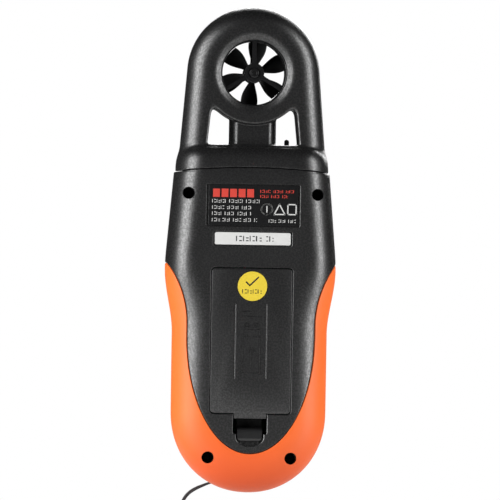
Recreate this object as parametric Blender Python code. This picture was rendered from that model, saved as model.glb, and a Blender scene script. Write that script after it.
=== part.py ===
"""Handheld weather meter, held upright: +Z runs along the case, the keys face -Y, the battery door faces +Y.

All lengths below are in millimetres; mesh_piece turns them into metres.
The origin is the hand grip: the middle of the waist, between the two case halves.
"""
import math

import bmesh
import bpy
from mathutils import Vector

MM = 0.001
MERGE = 0.000002               # metres: closer points are one point

# ---- driving dimensions -------------------------------------------------------------------------
GAP = 0.3                      # clearance left between pieces that touch
HALF_GAP = GAP / 2

# case outline, seen from the back
SEAM_Z = 77.6                  # top edge of the covers, where the head sits on them
TOP_HALF_WIDTH = 32.1
SLOPE_Z, SLOPE_HALF_WIDTH = 44.5, 34.87
HIP_Z, HIP_HALF_WIDTH = 37.0, 35.2
WAIST_Z, WAIST_HALF_WIDTH = 11.0, 31.95
END_Z, END_RISE, END_POWER = -21.5, 33.2, 2.08

# case depth and walls
REAR_DEPTH, FRONT_DEPTH = 18.5, 17.5
EDGE_TOP, EDGE_WAIST = 12.5, 17.0      # how far the rounded edge reaches in from the outline
EDGE_POWER = 2.6
EDGE_ANGLES = [0, 20, 38, 54, 70, 90]
GRIP_SKIN, HARD_WALL = 1.2, 2.0
GRIP_POCKET = GRIP_SKIN + GAP
WALL = GRIP_POCKET + HARD_WALL

# black shield left between the orange grips
SHIELD_ARC_R, SHIELD_ARC_X, SHIELD_ARC_Z = 40.0, 66.2, 15.5
SHIELD_END_Z, SHIELD_END_WIDTH, SHIELD_END_RISE = 10.0, 26.2, 48.8

# head
VANE_Z = 118.1
ARCH_R, ARCH_DRAFT = 27.3, math.radians(4.67)
ARCH_DEPTH, ARCH_EDGE = 11.0, 5.6
HEAD_WALL = 2.2
SHOULDER_TOP, SHOULDER_DEPTH = 88.1, 17.7
NECK_BOTTOM, NECK_INSET = 73.0, WALL + GAP
STEM_HALF_WIDTH, STEM_DEPTH, RING_R = 9.7, 7.5, 21.2
WINDOW_OUTER_LOW, WINDOW_OUTER_HIGH, WINDOW_CORNER = 19.0, 18.1, 1.8
BORE_R, LIP_R, FUNNEL_R, LIP_Y, FUNNEL_Y = 14.8, 13.4, 16.3, 9.1, 9.5

# vane
DUCT_R_IN, DUCT_R_OUT, DUCT_HALF = 13.1, 14.5, 6.9
SPIDER_Y0, SPIDER_Y1, SPIDER_HUB_R, STRUT_WIDTH = 7.2, 8.8, 4.1, 2.0
BLADES, BLADE_TIP_R, BLADE_PHASE = 6, 12.6, math.radians(7.5)
BLADE_PITCH_ROOT, BLADE_PITCH_TIP = math.radians(32), math.radians(50)

# battery bay and door
DOOR_HALF, DOOR_TOP, DOOR_BOTTOM, DOOR_CORNER = 16.8, 38.0, -22.1, 1.7
DOOR_THICK = 2.0
LATCH_HALF = 5.2                # half width of the door's U spring
TAB_HALF, SLOT_BOTTOM, SCOOP_HALF, SCOOP_BOTTOM = 7.0, -30.3, 5.7, -35.2
BATTERY_HALF, BATTERY_LOW, BATTERY_HIGH = 13.25, -20.0, 28.5
BATTERY_Y0, BATTERY_Y1 = -2.6, 14.9

# fasteners: (x, z) of the four case screws
TOP_SCREW, BOTTOM_SCREW = (26.5, 68.3), (17.0, -40.1)
BOARD_SCREWS = [(18.5, 68.0), (-18.5, 68.0), (17.5, -26.0), (-17.5, -26.0)]

# keys
KEY_X, KEY_Z = [-15.5, 0.0, 15.5], [10.0, -4.0]
KEY_W, KEY_H = 11.0, 7.4
BOARD_Y0, BOARD_Y1 = -8.0, -6.4

# wrist cord
CORD_R = 0.7
LUG_X, LUG_Y, LUG_Z = 7.5, -15.0, -50.8
CORD_ROUTE = [
    (8.9, -15.0, -50.8), (12.0, -15.0, -50.8), (14.8, -14.9, -51.4), (17.9, -14.7, -52.6),
    (20.7, -14.5, -53.9), (23.2, -14.3, -55.6), (25.1, -14.1, -57.9), (26.5, -14.0, -61.2),
    (27.4, -14.0, -65.5), (27.8, -14.0, -70.2), (27.8, -14.0, -74.6),
]
HANK_X, HANK_Y, HANK_Z = 23.5, -11.1, -91.0
HANK_RUN, HANK_BEND, HANK_HALF_THICK = 22.0, 4.3, 3.75

for leftover in list(bpy.data.objects):
    bpy.data.objects.remove(leftover, do_unlink=True)


# ---- materials ----------------------------------------------------------------------------------
def material(name, colour, roughness, metallic=0.0):
    """A Principled material, made once for each name."""
    found = bpy.data.materials.get(name)
    if found:
        return found
    made = bpy.data.materials.new(name)
    made.use_nodes = True
    shader = made.node_tree.nodes["Principled BSDF"]
    shader.inputs["Base Color"].default_value = (*colour, 1.0)
    shader.inputs["Roughness"].default_value = roughness
    shader.inputs["Metallic"].default_value = metallic
    made.diffuse_color = (*colour, 1.0)
    return made


BLACK = material("black_plastic", (0.018, 0.018, 0.019), 0.55)
ORANGE = material("orange_grip", (1.0, 0.16, 0.03), 0.6)
DARK = material("vane_plastic", (0.010, 0.010, 0.011), 0.5)
STEEL = material("steel", (0.55, 0.55, 0.56), 0.3, 1.0)
BOARD = material("board_green", (0.02, 0.16, 0.07), 0.5)
GLASS = material("clear_window", (0.75, 0.8, 0.8), 0.08)
RUBBER = material("key_rubber", (0.12, 0.12, 0.13), 0.7)
WHITE = material("white_label", (0.8, 0.8, 0.8), 0.5)
YELLOW = material("yellow_sticker", (0.9, 0.75, 0.03), 0.5)
RED = material("red_wire", (0.6, 0.02, 0.02), 0.45)
BRASS = material("brass", (0.7, 0.5, 0.2), 0.3, 1.0)
CORD = material("black_cord", (0.03, 0.03, 0.03), 0.8)


# ---- mesh helpers -------------------------------------------------------------------------------
def finish_mesh(piece, sharp_degrees=35):
    """Turn the faces outward and shade the round ones smooth."""
    mesh = piece.data
    work = bmesh.new()
    work.from_mesh(mesh)
    bmesh.ops.recalc_face_normals(work, faces=work.faces)
    work.to_mesh(mesh)
    work.free()
    mesh.shade_smooth()
    mesh.set_sharp_from_angle(angle=math.radians(sharp_degrees))


def mesh_piece(name, points, faces, look, origin=(0, 0, 0)):
    """One object from points in millimetres; its own origin can stand on a joint's axis."""
    origin = Vector(origin)
    mesh = bpy.data.meshes.new(name)
    mesh.from_pydata([(Vector(p) - origin) * MM for p in points], [], faces)
    mesh.validate()
    piece = bpy.data.objects.new(name, mesh)
    bpy.context.scene.collection.objects.link(piece)
    piece.location = origin * MM
    mesh.materials.append(look)
    finish_mesh(piece)
    return piece


def combine(piece, tool, operation):
    """Apply an exact Boolean with tool, tidy what it leaves, and remove the tool."""
    modifier = piece.modifiers.new(operation, "BOOLEAN")
    modifier.operation = operation
    modifier.solver = "EXACT"
    modifier.object = tool
    result = bpy.data.meshes.new_from_object(piece.evaluated_get(bpy.context.evaluated_depsgraph_get()))
    piece.modifiers.remove(modifier)
    piece.data = result
    bpy.data.objects.remove(tool, do_unlink=True)
    work = bmesh.new()
    work.from_mesh(result)
    bmesh.ops.remove_doubles(work, verts=work.verts, dist=MERGE)
    bmesh.ops.dissolve_degenerate(work, edges=work.edges, dist=MERGE)
    work.to_mesh(result)
    work.free()
    return piece


def cut(piece, *tools):
    for tool in tools:
        combine(piece, tool, "DIFFERENCE")
    return piece


def join(piece, *tools):
    for tool in tools:
        combine(piece, tool, "UNION")
    return piece


def loft(name, rings, look, origin=(0, 0, 0)):
    """A closed solid through rings of equal point counts, with flat ends."""
    count = len(rings[0])
    points = [p for ring in rings for p in ring]
    faces = []
    for level in range(len(rings) - 1):
        low, high = level * count, (level + 1) * count
        for i in range(count):
            j = (i + 1) % count
            faces.append((low + i, low + j, high + j, high + i))
    faces.append(tuple(range(count)))
    faces.append(tuple(range((len(rings) - 1) * count, len(rings) * count)))
    return mesh_piece(name, points, faces, look, origin)


def box(name, x, y, z, look=BLACK, origin=(0, 0, 0)):
    rings = [[(x[0], y[0], k), (x[1], y[0], k), (x[1], y[1], k), (x[0], y[1], k)] for k in z]
    return loft(name, rings, look, origin)


def prism(name, outline, y0, y1, look=BLACK, origin=(0, 0, 0)):
    """An (x, z) outline extruded along Y."""
    return loft(name, [[(x, y, z) for x, z in outline] for y in (y0, y1)], look, origin)


def disc_ring(centre, radius, y, count):
    """A circle about an axis along Y."""
    turn = math.tau / count
    return [(centre[0] + radius * math.sin(turn * i), y, centre[1] + radius * math.cos(turn * i))
            for i in range(count)]


def turned(name, profile, look, centre=(0, 0), count=24, origin=(0, 0, 0)):
    """A solid of revolution about Y: profile is a list of (radius, y), from one end to the other."""
    return loft(name, [disc_ring(centre, r, y, count) for r, y in profile], look, origin)


def tube_ring(name, profile, look, centre=(0, 0), count=36, origin=(0, 0, 0)):
    """A hollow turned piece: profile is a closed loop of (radius, y)."""
    rings = [disc_ring(centre, r, y, count) for r, y in profile]
    points = [p for ring in rings for p in ring]
    faces = []
    for level in range(len(rings)):
        low, high = level * count, (level + 1) % len(rings) * count
        for i in range(count):
            j = (i + 1) % count
            faces.append((low + i, low + j, high + j, high + i))
    return mesh_piece(name, points, faces, look, origin)


def rounded_box(half_w, low, high, corner, steps=3):
    """Outline of a rectangle with round corners, as (x, z) points."""
    outline = []
    for cx, cz, start in ((half_w, high, 0), (-half_w, high, 90), (-half_w, low, 180), (half_w, low, 270)):
        mid_x = cx - math.copysign(corner, cx)
        mid_z = cz - corner if cz == high else cz + corner
        for step in range(steps + 1):
            angle = math.radians(start + 90 * step / steps)
            outline.append((mid_x + corner * math.cos(angle), mid_z + corner * math.sin(angle)))
    return outline


def shifted(outline, dx, dz=0.0):
    return [(x + dx, z + dz) for x, z in outline]


# ---- outline of the case ------------------------------------------------------------------------
def ease(t):
    return t * t * (3 - 2 * t)


def case_half_width(z):
    if z >= SLOPE_Z:
        return SLOPE_HALF_WIDTH + (TOP_HALF_WIDTH - SLOPE_HALF_WIDTH) * (z - SLOPE_Z) / (SEAM_Z - SLOPE_Z)
    if z >= HIP_Z:
        return HIP_HALF_WIDTH + (SLOPE_HALF_WIDTH - HIP_HALF_WIDTH) * ((z - HIP_Z) / (SLOPE_Z - HIP_Z)) ** 2
    if z >= WAIST_Z:
        return WAIST_HALF_WIDTH + (HIP_HALF_WIDTH - WAIST_HALF_WIDTH) * ease((z - WAIST_Z) / (HIP_Z - WAIST_Z))
    return WAIST_HALF_WIDTH


def case_path():
    """The outline from the +X side of the seam, round the lower end, to the -X side."""
    side = [(case_half_width(z), z) for z in (SEAM_Z, 60, 44.5, 40, 35, 29, 23, 17, 11, -5)]
    steps = 7
    for step in range(steps + 1):
        angle = math.radians(90 * step / steps)
        side.append((WAIST_HALF_WIDTH * max(math.cos(angle), 0.0) ** (2 / END_POWER),
                     END_Z - END_RISE * math.sin(angle) ** (2 / END_POWER)))
    side[-1] = (0.0, END_Z - END_RISE)
    return side + [(-x, z) for x, z in reversed(side[:-1])]


def inward_normals(path):
    """Unit normals that point into the outline; the two ends stay level."""
    normals = []
    for i in range(len(path)):
        if i in (0, len(path) - 1):
            normals.append(Vector((-math.copysign(1.0, path[i][0]), 0.0)))
            continue
        along = Vector(path[i + 1]) - Vector(path[i - 1])
        normals.append(Vector((along.y, -along.x)).normalized())
    return normals


def edge_reach(z):
    """The edge is rounder round the waist and the lower end than at the top."""
    blend = min(max((45.0 - z) / 30.0, 0.0), 1.0)
    return EDGE_TOP + (EDGE_WAIST - EDGE_TOP) * ease(blend)


def pillow_levels(path, reach, depth, side, offset, split):
    """Rings of an open tray: the outline climbs from the split plane and bends over to the flat back."""
    normals = inward_normals(path)
    levels = []
    for degrees in EDGE_ANGLES:
        angle = math.radians(degrees)
        inward = 1 - max(math.cos(angle), 0.0) ** (2 / EDGE_POWER) if degrees < 90 else 1.0
        rise = math.sin(angle) ** (2 / EDGE_POWER)
        ring = []
        for (x, z), normal in zip(path, normals):
            shift = offset + (reach(z) - offset) * inward
            y = split + (depth - offset - split) * rise
            ring.append((x + normal.x * shift, side * y, z + normal.y * shift))
        levels.append(ring)
    return levels


def tray_shell(name, path, reach, depth, side, outer, inner, look, split=HALF_GAP):
    """Half of the case as a wall between two offsets, open at the split plane and along the seam."""
    skins = [pillow_levels(path, reach, depth, side, offset, split) for offset in (outer, inner)]
    count, levels = len(path), len(EDGE_ANGLES)
    points = [p for skin in skins for ring in skin for p in ring]

    def index(skin, level, i):
        return (skin * levels + level) * count + i

    faces = []
    for skin in (0, 1):
        for level in range(levels - 1):
            for i in range(count - 1):
                faces.append((index(skin, level, i), index(skin, level, i + 1),
                              index(skin, level + 1, i + 1), index(skin, level + 1, i)))
        faces.append(tuple(index(skin, levels - 1, i) for i in range(count)))
    for i in range(count - 1):
        faces.append((index(0, 0, i), index(1, 0, i), index(1, 0, i + 1), index(0, 0, i + 1)))
    rim = [index(0, level, 0) for level in range(levels)]
    rim += [index(0, level, count - 1) for level in reversed(range(levels))]
    rim += [index(1, level, count - 1) for level in range(levels)]
    rim += [index(1, level, 0) for level in reversed(range(levels))]
    faces.append(tuple(rim))
    return mesh_piece(name, points, faces, look)


def shield_outline(grow=0.0):
    """The black field between the grips: two hollow arcs down to a half ellipse."""
    radius = SHIELD_ARC_R - grow
    side = [(46.0, 90.0), (46.0, 45.0 + grow)]
    for step in range(7):
        z = 44.0 + (SHIELD_ARC_Z - 44.0) * step / 6
        side.append((SHIELD_ARC_X - math.sqrt(radius ** 2 - (z - SHIELD_ARC_Z) ** 2), z))
    for step in range(9):
        angle = math.radians(90 * step / 8)
        side.append(((SHIELD_END_WIDTH + grow) * math.cos(angle),
                     SHIELD_END_Z - (SHIELD_END_RISE + grow) * math.sin(angle)))
    side[-1] = (0.0, SHIELD_END_Z - SHIELD_END_RISE - grow)
    return side + [(-x, z) for x, z in reversed(side[:-1])]


# ---- covers and grips ---------------------------------------------------------------------------
def screw_places():
    for x, z in (TOP_SCREW, BOTTOM_SCREW):
        yield x, z
        yield -x, z


def screw_bosses(name, side, reach):
    """Posts under the four case screws; the upper ones taper so that they stay inside the rounded edge."""
    upper = [(4.0, side * GAP), (4.0, side * (reach - 3.4)), (2.9, side * reach)]
    lower = [(4.0, side * GAP), (4.0, side * (reach - 0.2))]
    return [turned(f"{name}_boss_{i}", upper if z > 0 else lower, BLACK, (x, z), 12)
            for i, (x, z) in enumerate(screw_places())]


def cover(name, depth, side, grip_name, posts):
    """A hard shell with a pocket all round for the soft grip skin, and the skin that fills it."""
    path = case_path()
    shell = tray_shell(name, path, edge_reach, depth, side, 0.0, WALL, BLACK)
    join(shell, *posts)
    pocket = tray_shell(name + "_pocket", path, edge_reach, depth, side, -1.0, GRIP_POCKET, BLACK, split=-0.5)
    cut(pocket, prism(name + "_shield", shield_outline(), -30, 30))
    cut(shell, pocket)
    grip = tray_shell(grip_name, path, edge_reach, depth, side, 0.0, GRIP_SKIN, ORANGE)
    cut(grip, prism(grip_name + "_shield", shield_outline(GAP), -30, 30))
    return shell, grip


def rear_half():
    shell, grip = cover("rear_cover", REAR_DEPTH, 1, "rear_grip", screw_bosses("rear", 1, 14.7))
    bores = [turned(f"rear_bore_{i}", [(1.6, -1), (1.6, 9.0), (2.5, 9.0), (2.5, 20)], BLACK, place, 12)
             for i, place in enumerate(screw_places())]
    cut(shell, *bores)
    cut(shell, prism("door_opening", rounded_box(DOOR_HALF, DOOR_BOTTOM, DOOR_TOP, DOOR_CORNER), 12, 20))
    cut(shell, box("latch_slot", (-TAB_HALF, TAB_HALF), (12.5, 20.5), (SLOT_BOTTOM, DOOR_BOTTOM + 1)))
    scoop = [(SCOOP_HALF, SLOT_BOTTOM + 1), (-SCOOP_HALF, SLOT_BOTTOM + 1)]
    for step in range(9):
        angle = math.radians(180 + 22.5 * step)
        scoop.append((SCOOP_HALF * math.cos(angle), SCOOP_BOTTOM + 3.6 + 3.6 * math.sin(angle)))
    cut(shell, prism("finger_scoop", scoop, 15.9, 21))
    cut(shell, prism("rating_pocket", rounded_box(19.2, 54.9, 72.2, 0.6), 17.9, 20))
    cut(shell, prism("serial_pocket", rounded_box(16.2, 46.8, 52.9, 0.8), 17.9, 20))
    holes = [turned(f"grip_hole_{i}", [(2.5, -1), (2.5, 20)], ORANGE, (x, BOTTOM_SCREW[1]), 16)
             for i, x in enumerate((BOTTOM_SCREW[0], -BOTTOM_SCREW[0]))]
    cut(grip, *holes)


def front_half():
    posts = screw_bosses("front", -1, 13.7)
    posts += [turned(f"board_boss_{i}", [(2.4, BOARD_Y0 - GAP), (2.4, -14.8)], BLACK, place, 12)
              for i, place in enumerate(BOARD_SCREWS)]
    shell, grip = cover("front_cover", FRONT_DEPTH, -1, "front_grip", posts)
    bores = [turned(f"front_bore_{i}", [(1.6, 1), (1.6, -11.5)], BLACK, place, 12)
             for i, place in enumerate(screw_places())]
    bores += [turned(f"board_bore_{i}", [(1.1, -6), (1.1, -13.0)], BLACK, place, 12)
              for i, place in enumerate(BOARD_SCREWS)]
    cut(shell, *bores)
    cut(shell, prism("window_pocket", rounded_box(24.3, 24.7, 62.3, 1.5), -16.0, -20))
    cut(shell, prism("window_opening", rounded_box(21.8, 27.2, 59.8, 1.0), -12, -18))
    for name, x, z in key_places():
        outline = shifted(rounded_box(KEY_W / 2 + 0.35, -KEY_H / 2 - 0.35, KEY_H / 2 + 0.35, 2.2), x, z)
        relief = shifted(rounded_box(KEY_W / 2 + 1.3, -KEY_H / 2 - 1.3, KEY_H / 2 + 1.3, 2.8), x, z)
        cut(shell, prism(name + "_hole", outline, -11, -20), prism(name + "_relief", relief, -10, -13.8))
    slot = [(LUG_X - 1.6, LUG_Z - 3), (LUG_X + 1.6, LUG_Z - 3), (LUG_X + 1.6, LUG_Z + 5), (LUG_X - 1.6, LUG_Z + 5)]
    cut(shell, prism("lug_slot", slot, LUG_Y - 1.9, LUG_Y + 1.9))
    cut(grip, prism("lug_grip_slot", slot, LUG_Y - 1.9, LUG_Y + 1.9))


def key_places():
    number = 0
    for z in KEY_Z:
        for x in KEY_X:
            number += 1
            yield f"key_{number}", x, z


# ---- head ---------------------------------------------------------------------------------------
def shoulder_ring(half_width, depth, z, side, split=HALF_GAP):
    """Half of a level section through the shoulder, from +X round the back to -X."""
    reach = min(EDGE_TOP, half_width * 0.45)
    half = []
    for degrees in EDGE_ANGLES:
        angle = math.radians(degrees)
        inward = 1.0 if degrees == 90 else 1 - math.cos(angle) ** (2 / EDGE_POWER)
        rise = math.sin(angle) ** (2 / EDGE_POWER)
        half.append((half_width - reach * inward, side * (split + (depth - split) * rise), z))
    return half + [(-x, y, z) for x, y, z in reversed(half)]


def arch_path(bottom):
    """The head's outline from the +X limb's foot over the top to the -X limb's foot."""
    tangent = Vector((ARCH_R * math.cos(ARCH_DRAFT), VANE_Z + ARCH_R * math.sin(ARCH_DRAFT)))
    foot_x = tangent.x + (tangent.y - bottom) * math.tan(ARCH_DRAFT)
    steps = 14
    arc = []
    for step in range(steps + 1):
        angle = ARCH_DRAFT + (math.pi - 2 * ARCH_DRAFT) * step / steps
        arc.append((ARCH_R * math.cos(angle), VANE_Z + ARCH_R * math.sin(angle)))
    limb = [(foot_x + (tangent.x - foot_x) * t, bottom + (tangent.y - bottom) * t) for t in (0, 0.33, 0.67)]
    return limb + arc + [(-x, z) for x, z in reversed(limb)]


def arch_solid(name, side, offset, bottom, split=HALF_GAP):
    """Half of the arch as one solid whose edge bends over like a tube."""
    path = arch_path(bottom)
    normals = [-n for n in inward_normals(path)]
    normals[0], normals[-1] = -normals[0], -normals[-1]
    rings = []
    for degrees in EDGE_ANGLES:
        angle = math.radians(degrees)
        inward = 1.0 if degrees == 90 else 1 - math.cos(angle) ** (2 / EDGE_POWER)
        rise = math.sin(angle) ** (2 / EDGE_POWER)
        shift = offset + (ARCH_EDGE - offset * 0.5) * inward
        y = side * (split + (ARCH_DEPTH - offset - split) * rise)
        rings.append([(x + n.x * shift, y, z + n.y * shift) for (x, z), n in zip(path, normals)])
    return loft(name, rings, BLACK)


def window_outline(sign, grow=0.0):
    """One side window: straight sides, a round upper corner, and a top that follows the ring housing."""
    inner, low = STEM_HALF_WIDTH - grow, SHOULDER_TOP - grow
    outer_low, outer_high = WINDOW_OUTER_LOW + grow, WINDOW_OUTER_HIGH + grow
    ring, corner = RING_R - grow, WINDOW_CORNER + grow
    corner_x = outer_high - corner
    corner_z = VANE_Z - math.sqrt((ring + corner) ** 2 - corner_x ** 2)
    meets_ring = math.atan2(VANE_Z - corner_z, -corner_x)
    points = [(inner + 0.6, low), (outer_low - 0.8, low), (outer_low, low + 0.8)]
    for step in range(6):
        angle = meets_ring * step / 5
        points.append((corner_x + corner * math.cos(angle), corner_z + corner * math.sin(angle)))
    touch_x = points[-1][0]
    for step in range(1, 4):
        x = touch_x + (inner - touch_x) * step / 3
        points.append((x, VANE_Z - math.sqrt(ring ** 2 - x ** 2)))
    points.append((inner, low + 0.6))
    return [(sign * x, z) for x, z in points]


def head_half(name, side):
    """Shoulder, limbs, arch and ring housing moulded as one shell, with a neck that sits in the covers."""
    neck_w, neck_d = TOP_HALF_WIDTH - NECK_INSET, (REAR_DEPTH if side > 0 else FRONT_DEPTH) - NECK_INSET
    base = SEAM_Z + GAP
    depth = SHOULDER_DEPTH if side > 0 else SHOULDER_DEPTH - (REAR_DEPTH - FRONT_DEPTH)
    sections = [(neck_w, neck_d, NECK_BOTTOM), (neck_w, neck_d, base - 0.05), (31.5, depth, base),
                (31.4, depth, 82.5), (30.9, depth - 0.6, 85.4), (29.9, depth - 2.0, 87.4),
                (28.6, depth - 3.8, SHOULDER_TOP)]
    head = loft(name, [shoulder_ring(w, d, z, side) for w, d, z in sections], BLACK)
    join(head, arch_solid(name + "_arch", side, 0.0, 84.0))

    inset = HEAD_WALL
    room = [(neck_w - 1.5, neck_d - 1.5, NECK_BOTTOM - 2), (neck_w - 1.5, neck_d - 1.5, 78.4),
            (31.5 - inset, depth - inset, 80.6), (31.4 - inset, depth - inset, 83.0),
            (28.6 - inset, depth - 3.8 - inset, SHOULDER_TOP - inset)]
    cavity = loft(name + "_room", [shoulder_ring(w, d, z, side, -1.0) for w, d, z in room], BLACK)
    arch_room = arch_solid(name + "_arch_room", side, inset, 83.5, split=-0.5)
    for sign in (1, -1):
        cut(arch_room, prism(f"{name}_window_wall_{sign}", window_outline(sign, inset), -20, 20))
    cut(arch_room, turned(name + "_bore_wall", [(BORE_R + 2.0, -20), (BORE_R + 2.0, 20)], BLACK, (0, VANE_Z), 32))
    cut(arch_room, box(name + "_stem_floor", (-12, 12), (STEM_DEPTH - inset, 20) if side > 0
                       else (-20, -(STEM_DEPTH - inset)), (80, VANE_Z - 16)))
    cut(head, cavity, arch_room)

    stem_step = [(-STEM_HALF_WIDTH - 1.5, SHOULDER_TOP), (STEM_HALF_WIDTH + 1.5, SHOULDER_TOP)]
    for step in range(7):
        x = (STEM_HALF_WIDTH + 1.5) * (1 - step / 3)
        stem_step.append((x, VANE_Z - math.sqrt(RING_R ** 2 - x ** 2)))
    cut(head, prism(name + "_stem_step", stem_step, side * STEM_DEPTH, side * 20))
    for sign in (1, -1):
        cut(head, prism(f"{name}_window_{sign}", window_outline(sign), -20, 20))
    bore = [(BORE_R, -side * 1.0), (BORE_R, side * LIP_Y), (LIP_R, side * LIP_Y), (LIP_R, side * FUNNEL_Y),
            (FUNNEL_R, side * ARCH_DEPTH), (FUNNEL_R + 0.6, side * 14)]
    cut(head, turned(name + "_bore", bore, BLACK, (0, VANE_Z), 36))
    peg = [[(-14.2 + 1.3 * math.cos(math.tau * i / 12), 1.3 * math.sin(math.tau * i / 12), z)
            for i in range(12)] for z in (80, 92)]
    cut(head, loft(name + "_peg_hole", peg, BLACK))
    return head


def temperature_sensor():
    def ring(radius, z):
        return [(-14.2 + radius * math.cos(math.tau * i / 12), radius * math.sin(math.tau * i / 12), z)
                for i in range(12)]
    loft("temperature_sensor", [ring(1.0, 80), ring(1.0, 90.2), ring(0.75, 90.8), ring(0.3, 91.0)], DARK)


# ---- vane ---------------------------------------------------------------------------------------
def polar(radius, angle):
    """A point on the vane's face: the angle runs from straight up towards -X."""
    return -radius * math.sin(angle), VANE_Z + radius * math.cos(angle)


def spider(name, side):
    """Rim, three struts and a hub cap with the bearing seat, moulded in one piece."""
    y0, y1 = side * SPIDER_Y0, side * SPIDER_Y1
    rim = tube_ring(name, [(DUCT_R_IN, y0), (DUCT_R_OUT, y0), (DUCT_R_OUT, y1), (DUCT_R_IN, y1)], DARK,
                    (0, VANE_Z), 36)
    for arm in range(3):
        angle = math.tau * arm / 3
        across = Vector((math.cos(angle), math.sin(angle))) * STRUT_WIDTH / 2
        near, far = Vector(polar(SPIDER_HUB_R - 1.5, angle)), Vector(polar(DUCT_R_IN + 0.6, angle))
        outline = [near - across, near + across, far + across, far - across]
        join(rim, prism(f"{name}_strut_{arm}", [tuple(p) for p in outline], y0 + side * 0.2, y1 - side * 0.1, DARK))
    join(rim, turned(name + "_hub", [(SPIDER_HUB_R, y0), (SPIDER_HUB_R, y1 - side * 0.3), (3.5, y1),
                                     (2.0, y1), (1.8, y1 + side * 0.5)], DARK, (0, VANE_Z), 24))
    cut(rim, turned(name + "_seat", [(1.5, y0 - side), (1.5, y1 - side * 0.3)], DARK, (0, VANE_Z), 16))


def blade(name, angle):
    """One twisted blade, from inside the hub to just short of the duct."""
    rings = []
    for step in range(5):
        radius = 2.6 + (BLADE_TIP_R - 2.6) * step / 4
        t = step / 4
        pitch = BLADE_PITCH_ROOT + (BLADE_PITCH_TIP - BLADE_PITCH_ROOT) * t
        half_chord = 2.6 + 2.1 * t
        ring = []
        for along, across in ((-1, -1), (0, -1.25), (1, -1), (1, 1), (0, 1.25), (-1, 1)):
            u = along * half_chord * math.sin(pitch) + across * 0.4 * math.cos(pitch)
            v = along * half_chord * math.cos(pitch) - across * 0.4 * math.sin(pitch)
            spread = math.asin(max(-1.0, min(1.0, u / radius)))
            x, z = polar(radius, angle + spread)
            ring.append((x, v, z))
        rings.append(ring)
    return loft(name, rings, DARK)


def vane():
    pivot = (0, 0, VANE_Z)
    tube_ring("vane_duct", [(DUCT_R_IN, -DUCT_HALF), (DUCT_R_OUT, -DUCT_HALF), (DUCT_R_OUT, DUCT_HALF),
                            (DUCT_R_IN, DUCT_HALF)], DARK, (0, VANE_Z))
    spider("rear_spider", 1)
    spider("front_spider", -1)
    impeller = turned("impeller", [(2.6, -3.6), (3.8, -2.8), (3.8, 2.8), (2.6, 3.6)], DARK, (0, VANE_Z), 24, pivot)
    for k in range(BLADES):
        join(impeller, blade(f"blade_{k}", BLADE_PHASE + math.tau * k / BLADES))
    cut(impeller, turned("shaft_bore", [(0.9, -5), (0.9, 5)], DARK, (0, VANE_Z), 12))
    turned("impeller_shaft", [(0.2, -7.4), (0.6, -6.9), (0.6, 6.9), (0.2, 7.4)], STEEL, (0, VANE_Z), 12, pivot)
    for name, side in (("rear_bearing", 1), ("front_bearing", -1)):
        turned(name, [(1.2, side * 7.7), (1.2, side * 8.2)], BRASS, (0, VANE_Z), 16)


def sensor():
    """The speed pick-up stands in the stem's hollow under the duct, with a flat lead to the board."""
    box("vane_sensor", (-3.0, 3.0), (-1.6, 1.6), (93.0, 99.6), BOARD)
    box("sensor_ribbon", (-2.5, 2.5), (-1.3, -1.05), (70.0, 92.7), WHITE)


# ---- electronics --------------------------------------------------------------------------------
def electronics():
    main = prism("main_board", [(-21.0, -29.5), (21.0, -29.5), (21.0, 72.0), (-21.0, 72.0)],
                 BOARD_Y0, BOARD_Y1, BOARD)
    cut(main, *[turned(f"board_hole_{i}", [(1.3, -10), (1.3, 0)], BOARD, place, 12)
                for i, place in enumerate(BOARD_SCREWS)])
    box("processor_chip", (-5, 5), (-6.1, -4.7), (46, 56), DARK)
    for number, (x, z) in enumerate(BOARD_SCREWS, 1):
        turned(f"board_screw_{number}", [(0.8, -12.5), (0.8, BOARD_Y1 + GAP), (1.9, BOARD_Y1 + GAP),
                                         (1.9, BOARD_Y1 + 1.3)], STEEL, (x, z), 12)
    box("backlight_panel", (-21.6, 21.6), (-10.7, -8.9), (26.5, 60.5), WHITE)
    prism("lcd_glass", rounded_box(22.2, 25.6, 61.4, 0.4, 1), -12.6, -11.0, GLASS)
    frame = prism("lcd_frame", rounded_box(23.4, 24.4, 62.6, 1.0, 2), -12.8, -8.5, BLACK)
    cut(frame, prism("lcd_frame_room", rounded_box(22.5, 25.3, 61.7, 0.6, 1), -20, 0, BLACK))
    box("contact_strip", (-20, 20), (-10.7, -8.3), (61.0, 61.5), RUBBER)
    prism("display_window", rounded_box(23.9, 25.1, 61.9, 1.2), -17.3, -16.3, GLASS)


def keys():
    mat = box("key_mat", (-22.5, 22.5), (-9.5, BOARD_Y0 - GAP), (-10.5, 16.5), RUBBER)
    for name, x, z in key_places():
        dome = [(3.6, -9.0), (3.2, -11.2), (2.8, -11.4)]
        join(mat, turned(name + "_dome", dome, RUBBER, (x, z), 12))
        outline = shifted(rounded_box(KEY_W / 2, -KEY_H / 2, KEY_H / 2, 1.9), x, z)
        flange = shifted(rounded_box(KEY_W / 2 + 0.9, -KEY_H / 2 - 0.9, KEY_H / 2 + 0.9, 2.4), x, z)
        top = shifted(rounded_box(KEY_W / 2 - 0.6, -KEY_H / 2 + 0.6, KEY_H / 2 - 0.6, 1.6), x, z)
        levels = [(flange, -12.6), (flange, -13.5), (outline, -13.5), (outline, -17.8), (top, -18.4)]
        loft(name, [[(px, y, pz) for px, pz in shape] for shape, y in levels], RUBBER, (x, -12.6, z))


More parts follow.
